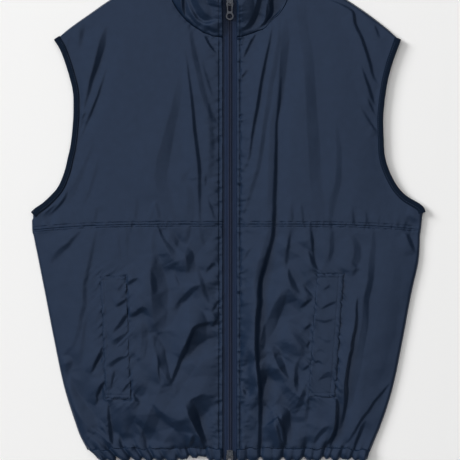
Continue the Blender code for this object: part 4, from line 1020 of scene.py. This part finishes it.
def spread_over(start, end, marks, kept=0.03):
    """Marks that keep their distance from the start near it, and share out the rest of the way to the end."""
    near = np.minimum(kept, 0.3 * (end - start))
    far = near + (marks - kept) / (marks[-1] - kept) * (end - start - near)
    return start + np.where(marks < kept, marks / kept * near, far)


def front_columns(width):
    return graded(0.0, width, CLOTH_STEP, 0.0, PLACKET - ZIP_HALF, width)


def add_front_lower(side):
    rows = graded(HEM_HEIGHT, YOKE_SEAM, CLOTH_STEP, YOKE_SEAM + SEAM_ROWS[0], YOKE_SEAM)
    columns = front_columns(0.290 - ZIP_HALF)
    ups = rows_across(rows, len(columns))
    outs = spread_over(ZIP_HALF, panel_edge(side, ups), columns)
    grid = facing_up(side, on_front(side, outs, ups))
    name = "front_lower_" + SIDES[side]
    piece = add_cloth(name + "_cloth", grid, NYLON, [name])


def yoke_grid(side):
    """Places on a yoke: columns that follow the armhole, and rows that rise to the neck and shoulder."""
    tip = float(panel_edge(side, SHOULDER_TIP + SEAM_GAP))
    columns = front_columns(tip - ZIP_HALF)
    top_outs = ZIP_HALF + columns
    neck_ups = NECK_POINT - NECK_DROP * np.sqrt(np.clip(1.0 - (top_outs / NECK_HALF) ** 2, 0.0, 1.0))
    neck_ups = neck_ups + neck_sway(side, top_outs)
    line_ups = np.linspace(NECK_POINT, SHOULDER_TIP + SEAM_GAP, 90)
    shoulder_ups = np.interp(top_outs, panel_edge(side, line_ups), line_ups)
    tops = np.minimum(np.where(top_outs < NECK_HALF, neck_ups, shoulder_ups), NECK_POINT - SEAM_GAP)
    rows = graded(YOKE_SEAM, YOKE_EVEN, CLOTH_STEP, YOKE_SEAM, YOKE_SEAM + SEAM_ROWS[1])
    shares = np.linspace(0.0, 1.0, 80)[1:, None]
    lower = rows_across(rows, len(columns))
    ups = np.concatenate([lower, YOKE_EVEN + shares * (tops - YOKE_EVEN)])
    edges = panel_edge(side, ups)
    edges = np.where(ups > YOKE_EVEN, np.minimum(edges, tip), edges)
    edges = np.where(ups > SHOULDER_TIP, tip, edges)
    return spread_over(ZIP_HALF, edges, columns), ups


def add_front_yoke(side):
    grid = facing_up(side, on_front(side, *yoke_grid(side)))
    name = "front_yoke_" + SIDES[side]
    piece = add_cloth(name + "_cloth", grid, NYLON, [name])


def back_creases(x, up):
    """Soft ridges that lift the back off the surface: long ones, and gathers that fan up from the hem."""
    long_folds = 0.0009 * smooth(soft_noise(x + 0.25 * up, up, 0.045, 0.190, 151))
    gathers = 0.0012 * smooth(soft_noise(x, up, 0.013, 0.060, 153))
    return long_folds + gathers * np.exp(-(up - HEM_HEIGHT) / 0.05)


def add_back():
    """The back lies on the surface. Its edges turn up to the seams, and its upper face is fleece."""
    shares = np.linspace(-1.0, 1.0, 105)
    grid = []
    for up in graded(HEM_HEIGHT, NECK_POINT - SEAM_GAP, 0.0045, PIT):
        left, right = panel_edge(-1, up), panel_edge(1, up)
        x = np.where(shares < 0, shares * left, shares * right)
        dip = BACK_NECK_DROP * np.maximum(1.0 - (x / NECK_HALF) ** 2, 0.0) * smooth((up - 0.66) / 0.08)
        from_edge = np.minimum(left + x, right - x)
        turn = (SEAM_Z - 0.0010) * (1.0 - rolled(from_edge, EDGE_ROLL))
        height = CLOTH + turn + back_creases(x, up) * smooth(from_edge / 0.02)
        grid.append(np.stack([x, up - dip, height], axis=-1))
    piece = add_cloth("back_cloth", np.array(grid), FLEECE, ["back_panel"], CLOTH, NYLON)
    piece.modifiers["wall"].material_offset_rim = 1


def add_welt(side):
    welt = WELTS[side]
    rows = graded(welt.low, welt.high, 0.0013, welt.low, welt.high)
    shares = graded(0.0, WELT_WIDTH, 0.0012, 0.0, WELT_WIDTH) / WELT_WIDTH
    ups = rows_across(rows, len(shares))
    inner, outer = welt_edges(side, ups)
    outs = inner + shares * (outer - inner)
    wave = 0.0006 * soft_noise(ups, outs, 0.013, 0.02, 61 + side)
    grid = np.stack([side * (outs + wave), ups, welt_top(side, outs, ups)], axis=-1)
    name = "pocket_welt_" + SIDES[side]
    piece = add_cloth(name + "_strip", facing_up(side, grid), NYLON, [name], 0.0009)


# Collar

# Rows of the collar, as shares of the way from its seam to its top edge
COLLAR_ROWS = np.linspace(0.0, 1.0, 46)[:, None]


def collar_front(side, shares):
    """The collar's front half from the zip to its side, as rows from the neck seam to the top edge."""
    angles = blend(FIRST_NECK_ANGLE, math.pi / 2, shares)
    seam_out = np.maximum(NECK_HALF * np.sin(angles), ZIP_HALF)[None, :]
    seam_up = NECK_POINT - NECK_DROP * np.cos(angles) + neck_sway(side, seam_out)
    top_out = np.maximum(COLLAR_TOP_HALF * np.sin(angles), ZIP_HALF)
    top_up = COLLAR_TOP - COLLAR_TOP_DROP * np.cos(angles)
    out, up = blend(seam_out, top_out, COLLAR_ROWS), blend(seam_up, top_up, COLLAR_ROWS)
    stand = blend(COLLAR_STAND, 2 * COLLAR_FOLD_RADIUS, smooth((shares - 0.30) / 0.70))
    top = blend(front_base(side, seam_out, seam_up), stand, np.minimum(1.0, 1.3 * COLLAR_ROWS))
    free = smooth(COLLAR_ROWS / 0.08) * smooth((out - ZIP_HALF) / 0.006) * np.minimum(1.0, 2.2 * (1 - shares))
    from_placket, from_seam = out - PLACKET, COLLAR_HEIGHT * COLLAR_ROWS
    top = top + crease_relief(COLLAR_CREASES, *wandering(side * out, up)) * free
    top = top + pucker(COLLAR_ZIP_PUCKER, up, from_placket, side)
    top = top + pucker(COLLAR_SEAM_PUCKER, out + up, from_seam, side)
    top = top - 0.0009 * bell(from_placket, 0.0009) - 0.0016 * bell(from_seam, 0.0012)
    top = np.clip(top, LOWEST_FRONT, HIGHEST_FRONT)
    zip_edge = blend(TAPE_TOP + CLOTH, 0.75 * COLLAR_STAND, COLLAR_ROWS)
    top = blend(zip_edge, top, rolled(out - ZIP_HALF, ZIP_ROLL))
    return np.stack([side * out, up, top], axis=-1)


def collar_side(side, turns):
    """The fold at the collar's side, turned from its front to its back."""
    seam = np.array([NECK_HALF, NECK_POINT, COLLAR_FOLD_RADIUS])
    top = np.array([COLLAR_TOP_HALF, COLLAR_TOP, COLLAR_FOLD_RADIUS])
    run = (top - seam) / np.linalg.norm(top - seam)
    spokes = np.outer(np.sin(turns), (run[1], -run[0], 0.0)) + np.outer(np.cos(turns), (0.0, 0.0, 1.0))
    points = blend(seam, top, COLLAR_ROWS[:, None]) + COLLAR_FOLD_RADIUS * spokes
    return points * (side, 1.0, 1.0)


def collar_back(shares):
    """The collar's back half on the surface, from its left side to its right."""
    depth = 1.0 - shares**2
    x = blend(NECK_HALF * shares, COLLAR_TOP_HALF * shares, COLLAR_ROWS)
    up = blend(NECK_POINT - BACK_NECK_DROP * depth, COLLAR_TOP - COLLAR_BACK_DIP * depth, COLLAR_ROWS)
    return np.stack([x, up, np.zeros(x.shape)], axis=-1)


def add_collar():
    half_length = 0.150
    shares = graded(0.0, half_length, 0.0016, 0.0, PLACKET - ZIP_HALF) / half_length
    turns = np.linspace(0.0, math.pi, 12)
    halves = []
    for side in SIDES:
        front = collar_front(side, shares)[:, :-1]
        halves.append(np.concatenate([front, collar_side(side, turns)], axis=1))
    left, right = halves
    back = collar_back(np.linspace(-1.0, 1.0, 61)[1:-1])
    grid = np.concatenate([left, back, right[:, ::-1]], axis=1)
    piece = add_cloth("collar_band", grid[:, ::-1], NYLON, ["collar"], 0.0015, FLEECE)


# Armhole bindings


def binding_section():
    """The folded strip's front strand: distance in from the edge, and height, with a slot for the cloth."""
    floor, top, wall, width = STRAND_FLOOR, BINDING_TOP, 0.001, BINDING_WIDTH
    nose = 0.0012
    arc = np.linspace(0.0, math.pi / 2, 5)
    lower = [(nose - nose * math.sin(a), floor + nose - nose * math.cos(a)) for a in arc]
    upper = [(nose - nose * math.cos(a), top - nose + nose * math.sin(a)) for a in arc]
    crown = [(0.32 * width, top + 0.0004), (0.6 * width, top + 0.0004), (0.84 * width, top + 0.0001)]
    lip = [(0.95 * width, top - 0.0001), (width, top - 0.0005), (width, top - wall)]
    slot = [(wall, top - wall), (wall, floor + wall), (width, floor + wall), (width, floor)]
    return np.array(lower + upper + crown + lip + slot)


def armhole_stations(side):
    """Points along the armhole, every 2 mm, with the directions along it and in from it."""
    line = edge_line(ARMHOLE, side, 400)
    lengths = lengths_along(line)
    marks = np.linspace(0.0, lengths[-1], round(lengths[-1] / 0.002))
    out, up = np.interp(marks, lengths, line[:, 0]), np.interp(marks, lengths, line[:, 1])
    out = out + 0.00025 * line_noise(marks, 0.014, 91 + side)
    points = np.stack([side * out, up], axis=-1)
    runs = np.gradient(points, axis=0)
    runs = runs / np.linalg.norm(runs, axis=1)[:, None]
    inward = np.stack([-side * runs[:, 1], side * runs[:, 0]], axis=-1)
    return marks, points, runs, inward


def add_binding(side):
    """Up the front's armhole, over the shoulder tip and down the back's."""
    depth, height = binding_section().T
    marks, points, runs, inward = armhole_stations(side)
    wide = 1.0 + 0.26 * np.exp(-marks / 0.06) + 0.20 * np.exp((marks - marks[-1]) / 0.04)
    flat = points[:, None, :] + inward[:, None, :] * (wide[:, None] * depth)[..., None]
    swell = 1.0 + 0.03 * line_noise(marks, 0.009, 95 + side)
    front = np.dstack([flat, swell[:, None] * height])
    under = np.maximum(BINDING_TOP - height, 0.0)
    back = np.dstack([flat, np.tile(under, (len(marks), 1))])
    middle = BINDING_TOP / 2
    reach = height - middle
    turned = []
    for turn in np.linspace(0.0, math.pi, 9)[1:-1]:
        places = flat[-1] + runs[-1] * (0.35 * math.sin(turn) * reach)[:, None]
        turned.append(np.column_stack([places, np.maximum(middle + math.cos(turn) * reach, 0.0)]))
    rings = np.concatenate([front, np.array(turned), back[::-1]])
    faces = grid_faces(len(rings), len(depth), wrap=True)
    if side > 0:
        faces = faces[:, ::-1]
    name = "armhole_binding_" + SIDES[side]
    piece = add_piece(name + "_knit", rings, faces, KNIT, [name])
    along = np.concatenate([marks, np.full(len(turned), marks[-1]), 2 * marks[-1] - marks[::-1]])
    lay_strip(piece, along, depth)


def lay_strip(piece, along, across):
    """A map of a strip in metres: along it, and across it."""
    layer = piece.data.uv_layers.new(name="strip")
    corners = np.zeros(len(piece.data.loops), np.int32)
    piece.data.loops.foreach_get("vertex_index", corners)
    ring, place = corners // len(across), corners % len(across)
    layer.data.foreach_set("uv", np.stack([along[ring], across[place]], axis=-1).ravel())


# Hem casings

HEM_UNDER = 0.0034
HEM_LOW = 0.0045
HEM_BACK_TOP = 0.0030

# The folded band's section, from its underside round the fold to the seam: place up it, and lift
HEM_SECTION = (
    (0.95, 0.02), (0.50, 0.00), (0.16, 0.02), (0.05, 0.16), (0.00, 0.42),
    (0.05, 0.68), (0.14, 0.88), (0.28, 1.02), (0.48, 1.08), (0.70, 1.05),
    (0.88, 1.00), (0.97, 1.00), (1.00, 0.97), (1.05, 0.80), (1.10, 0.50),
)


def hem_puff(side, outs):
    """How far the band swells between its gathers, and none at the zip and the side seam."""
    shut = smooth((outs - ZIP_HALF) / 0.005) * smooth((hem_width(side) - outs) / 0.006)
    return gather_relief(side, outs, np.full(outs.shape, HEM_HEIGHT)) * shut


def hem_low(side, outs):
    """The band's lower edge: it hangs low where it swells, and is drawn up at the gathers."""
    uneven = 0.0010 * line_noise(outs, 0.011, 103 + side)
    return np.maximum(HEM_LOW - 1.9 * hem_puff(side, outs) + uneven, -0.0015)


def add_hem_front(side):
    """A doubled band on elastic: it puffs up and hangs low between the gathers, and is drawn in at them."""
    name = "hem_front_" + SIDES[side]
    width = hem_width(side)
    outs = graded(ZIP_HALF, width, 0.0011, *(trough.out * MM for trough in GATHERS[side]))
    low = hem_low(side, outs)
    high = HEM_HEIGHT - SEAM_GAP - hem_wave(outs)
    over = HEM_TOP + 0.8 * hem_puff(side, outs)
    share = (outs - ZIP_HALF) / (width - ZIP_HALF)
    rows = []
    for place, lift in HEM_SECTION:
        up = blend(low, high, place)
        wrinkles = 0.0011 * soft_noise(outs + 0.4 * up, up, 0.008, 0.010, 107 + side) * (lift > 0.5)
        out = ZIP_HALF + share * (edge_at(SIDE_SEAM, side, up) - ZIP_HALF)
        rows.append(np.stack([side * out, up, blend(HEM_UNDER, over, lift) + wrinkles], axis=-1))
    piece = add_cloth(name + "_casing", facing_up(side, np.array(rows)), NYLON, [name], 0.0007)


def add_hem_back():
    """The back's band, drawn up at the same gathers."""
    x = np.linspace(-1.0, 1.0, 400)
    low = np.where(x < 0, hem_low(-1, -x * hem_width(-1)), hem_low(1, x * hem_width(1))) + 0.0008
    rows = []
    for place in np.linspace(0.0, 1.0, 7):
        up = blend(low, HEM_HEIGHT - SEAM_GAP, place)
        half = np.where(x < 0, edge_at(SIDE_SEAM, -1, up), edge_at(SIDE_SEAM, 1, up))
        rows.append(np.stack([x * half, up, np.full(x.shape, HEM_BACK_TOP)], axis=-1))
    piece = add_cloth("hem_back_casing", np.array(rows), NYLON, ["hem_back"], HEM_BACK_TOP)


# Zip

# Marks across a tape from its coil, closer together at its groove and its rib
TAPE_MARKS = MM * np.array(
    [0.0, 0.4, 1.0, 1.8, 2.6, 3.0, 3.4, 4.0, 4.8, 5.6, 6.0, 6.4, 7.4, 8.6, 9.8, 11.2, 13.0, 14.6]
)


def tape_inner(up):
    """How far the tape's inner edge is from the centre line: shut, and parting beyond each slider."""
    beyond = np.maximum(up - SLIDER_UP, LOW_SLIDER_UP - up)
    return np.interp(beyond, (-0.003, 0.0005, 0.0055, 0.0125), (0.00015, 0.0020, 0.0022, 0.0033))


def add_tape(side):
    rows = np.arange(0.0025, SLIDER_UP + 0.0125, 0.0022)
    ups = rows_across(rows, len(TAPE_MARKS))
    inner = tape_inner(ups)
    outer = np.where(ups < HEM_HEIGHT, ZIP_HALF - SEAM_GAP, TAPE_HALF)
    outs = inner + TAPE_MARKS / TAPE_MARKS[-1] * (outer - inner)
    lift = 0.00025 * bell(outs - 0.0060, 0.0005) - 0.0003 * bell(outs - 0.0033, 0.0005)
    wave = 0.0002 * soft_noise(ups, outs, 0.009, 0.006, 121 + side)
    grid = np.stack([side * outs, ups, TAPE_TOP + lift + wave], axis=-1)
    name = "zip_tape_" + SIDES[side]
    piece = add_cloth(name + "_weave", facing_up(side, grid), TAPE, [name], 0.0008)


def add_coil():
    """Interlocked loops of the coil, and the parted ones above the top slider."""
    pitch, length, radius = 0.0015, 0.0026, 0.00062
    ring = np.linspace(0.0, 2 * math.pi, 7)[:-1]
    bars = ((-0.5, 0.35), (-0.38, 0.9), (0.0, 1.0), (0.38, 0.9), (0.5, 0.35))
    loop_faces = grid_faces(len(bars), len(ring), wrap=True)
    points, faces = [], []
    for side in SIDES:
        shift = pitch / 2 if side > 0 else 0.0
        for up in np.arange(LOW_SLIDER_UP - 0.001, SLIDER_UP + 0.0105, pitch) + shift:
            centre = side * (0.00115 + tape_inner(up))
            faces.append(loop_faces + len(points))
            for place, size in bars:
                for angle in ring:
                    y = up + radius * size * math.cos(angle) + side * place * 0.0004
                    z = TAPE_TOP + 0.0010 + 0.0008 * size * math.sin(angle)
                    points.append((centre + place * length, y, z))
    add_piece("zip_coil_loops", points, np.concatenate(faces), COIL, ["zip_chain"])


def dress_metal():
    """Sliders and pull tabs keep their solids' shape, with rounded edges."""
    for node in ("zip_slider_top", "zip_slider_bottom", "zip_pull_top", "zip_pull_bottom"):
        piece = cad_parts[node]
        for slot in piece.material_slots:
            slot.material = GUNMETAL
        weld = piece.modifiers.new("weld", "WELD")
        weld.merge_threshold = 0.00001
        bevel = piece.modifiers.new("rounding", "BEVEL")
        bevel.width = 0.00022
        bevel.segments = 2
        bevel.limit_method = "ANGLE"
        bevel.angle_limit = math.radians(35)


# Rows of stitches

STITCH_LENGTH = 0.0024
STITCH_GAP = 0.0007
THREAD_RADIUS = 0.00028

# Along a stitch: shares of its length, and its thickness and lift there in thread radii
STITCH_PLACES = np.array([0.0, 0.2, 0.5, 0.8, 1.0])
STITCH_SIZES = np.array([0.3, 0.9, 1.0, 0.9, 0.3])
STITCH_LIFTS = np.array([-0.9, 0.1, 0.5, 0.1, -0.9])
STITCH_RING = np.linspace(0.0, 2 * math.pi, 6)[:-1]


def stitches_along(line):
    """Stitches along a line of points (x, up, z), each a short thread that dips in at its ends."""
    lengths = lengths_along(line)
    upward = np.array([0.0, 0.0, 1.0])
    stitches = []
    for start in np.arange(STITCH_GAP, lengths[-1] - STITCH_LENGTH, STITCH_LENGTH + STITCH_GAP):
        marks = start + STITCH_PLACES * STITCH_LENGTH
        centres = np.stack([np.interp(marks, lengths, line[:, axis]) for axis in range(3)], axis=-1)
        run = centres[-1] - centres[0]
        across = np.array([-run[1], run[0], 0.0])
        across = across / max(np.linalg.norm(across), 1e-9)
        spokes = np.outer(np.cos(STITCH_RING), across) + np.outer(np.sin(STITCH_RING), upward)
        centres = centres + np.outer(STITCH_LIFTS * THREAD_RADIUS, upward)
        stitches.append(centres[:, None] + THREAD_RADIUS * STITCH_SIZES[:, None, None] * spokes)
    return stitches


def add_stitches(name, lines):
    stitches = [stitch for line in lines for stitch in stitches_along(line)]
    rows, columns = len(STITCH_PLACES), len(STITCH_RING)
    one = grid_faces(rows, columns, wrap=True)
    faces = np.concatenate([one + i * rows * columns for i in range(len(stitches))])
    add_piece(name, stitches, faces, THREAD)


def on_welt(side, shares, ups):
    """Points on a welt's face, at shares of the way across it."""
    inner, outer = welt_edges(side, ups)
    outs = inner + shares * (outer - inner)
    return np.stack([side * outs, ups, welt_top(side, outs, ups)], axis=-1)


def add_all_stitches():
    for side, label in SIDES.items():
        outs = np.linspace(PLACKET, float(panel_edge(side, YOKE_SEAM)) - 0.004, 400)
        seam = [on_front(side, outs, np.full(400, YOKE_SEAM + row)) for row in SEAM_ROWS]
        add_stitches("yoke_stitches_" + label, seam)
        ups = np.linspace(HEM_HEIGHT + 0.002, FRONT_NECK - 0.003, 700)
        add_stitches("zip_stitches_" + label, [on_front(side, np.full(700, PLACKET), ups)])
        welt = WELTS[side]
        ups = np.linspace(welt.low + 0.0015, welt.high - 0.0015, 260)
        rows = [on_welt(side, np.full(260, share), ups) for share in (0.035, (1 + WELT_OUTER_ROW) / 2, 0.965)]
        middle, half = (welt.low + welt.high) / 2, (welt.high - welt.low) / 2
        shares = np.linspace(0.03, 0.97, 60)
        for from_middle in (0.0012 - half, -WELT_END_ROW, WELT_END_ROW, half - 0.0012):
            rows.append(on_welt(side, shares, np.full(60, middle + from_middle)))
        add_stitches("welt_stitches_" + label, rows)
        outs = np.linspace(PLACKET, hem_width(side) - 0.003, 500)
        add_stitches("hem_stitches_" + label, [on_front(side, outs, np.full(500, HEM_HEIGHT + 0.0012))])
        _, points, _, inward = armhole_stations(side)
        row = points + inward * (BINDING_WIDTH - 0.0013)
        heights = np.full(len(row), BINDING_TOP + 0.0001)
        add_stitches("binding_stitches_" + label, [np.column_stack([row, heights])[4:-3]])


# Floor, light and camera

FLOOR_HALF = 6.0
FLOOR_DROP = 0.0004
CEILING_WATTS = 960.0
CEILING_RIGHT = 5.4
CEILING_NEAR = -3.6
CEILING_HEIGHT = 9.0
WINDOW_WATTS = 1400.0
WINDOW_PLACE = (-10.0, 5.0, 5.6)


def add_floor():
    mesh = bpy.data.meshes.new("floor")
    corners = [(x * FLOOR_HALF, y * FLOOR_HALF, 0) for x, y in ((-1, -1), (1, -1), (1, 1), (-1, 1))]
    mesh.from_pydata(corners, [], [(0, 1, 2, 3)])
    mesh.materials.append(pale_floor())
    floor = place_object("floor", mesh)
    floor.location.z = -FLOOR_DROP


def add_ceiling_light():
    """One wide soft light that spans from overhead to far out on the upper left, and faces down."""
    light = bpy.data.lights.new("ceiling soft light", "AREA")
    light.shape = "RECTANGLE"
    light.size = 20.0
    light.size_y = 16.5
    light.energy = CEILING_WATTS
    lamp = place_object("ceiling soft light", light)
    lamp.location = (CEILING_RIGHT - light.size / 2, CEILING_NEAR + light.size_y / 2, CEILING_HEIGHT)


def add_window_light():
    """A smaller soft light from the upper left: it draws the shadows beside the vest, and adds no gloss."""
    light = bpy.data.lights.new("window light", "AREA")
    light.size = 4.6
    light.energy = WINDOW_WATTS
    lamp = place_object("window light", light)
    lamp.visible_glossy = False
    lamp.location = WINDOW_PLACE
    lamp.rotation_euler = (-Vector(WINDOW_PLACE)).to_track_quat("-Z", "Y").to_euler()


def add_camera():
    """Straight above, over the middle of the photo's frame, which is 690 mm wide at the vest's face."""
    frame_width, distance, face = 0.690, 2.4, 0.010
    camera = bpy.data.cameras.new("camera")
    camera.sensor_width = 36.0
    camera.lens = camera.sensor_width * distance / frame_width
    eye = place_object("camera", camera)
    eye.location = (ZIP_X + 0.0004, HEM_Y + 0.3495, face + distance)
    bpy.context.scene.camera = eye


def light_the_studio():
    world = bpy.data.worlds.new("studio")
    world.use_nodes = True
    background = world.node_tree.nodes["Background"].inputs
    background["Color"].default_value = linear("#f6f4f0")
    background["Strength"].default_value = 0.14
    bpy.context.scene.world = world
    bpy.context.scene.view_settings.view_transform = "Standard"
    add_ceiling_light()
    add_window_light()


add_floor()
add_camera()
light_the_studio()
add_back()
for each_side in SIDES:
    add_front_lower(each_side)
    add_front_yoke(each_side)
    add_welt(each_side)
    add_binding(each_side)
    add_hem_front(each_side)
    add_tape(each_side)
add_hem_back()
add_collar()
add_coil()
dress_metal()
add_all_stitches()
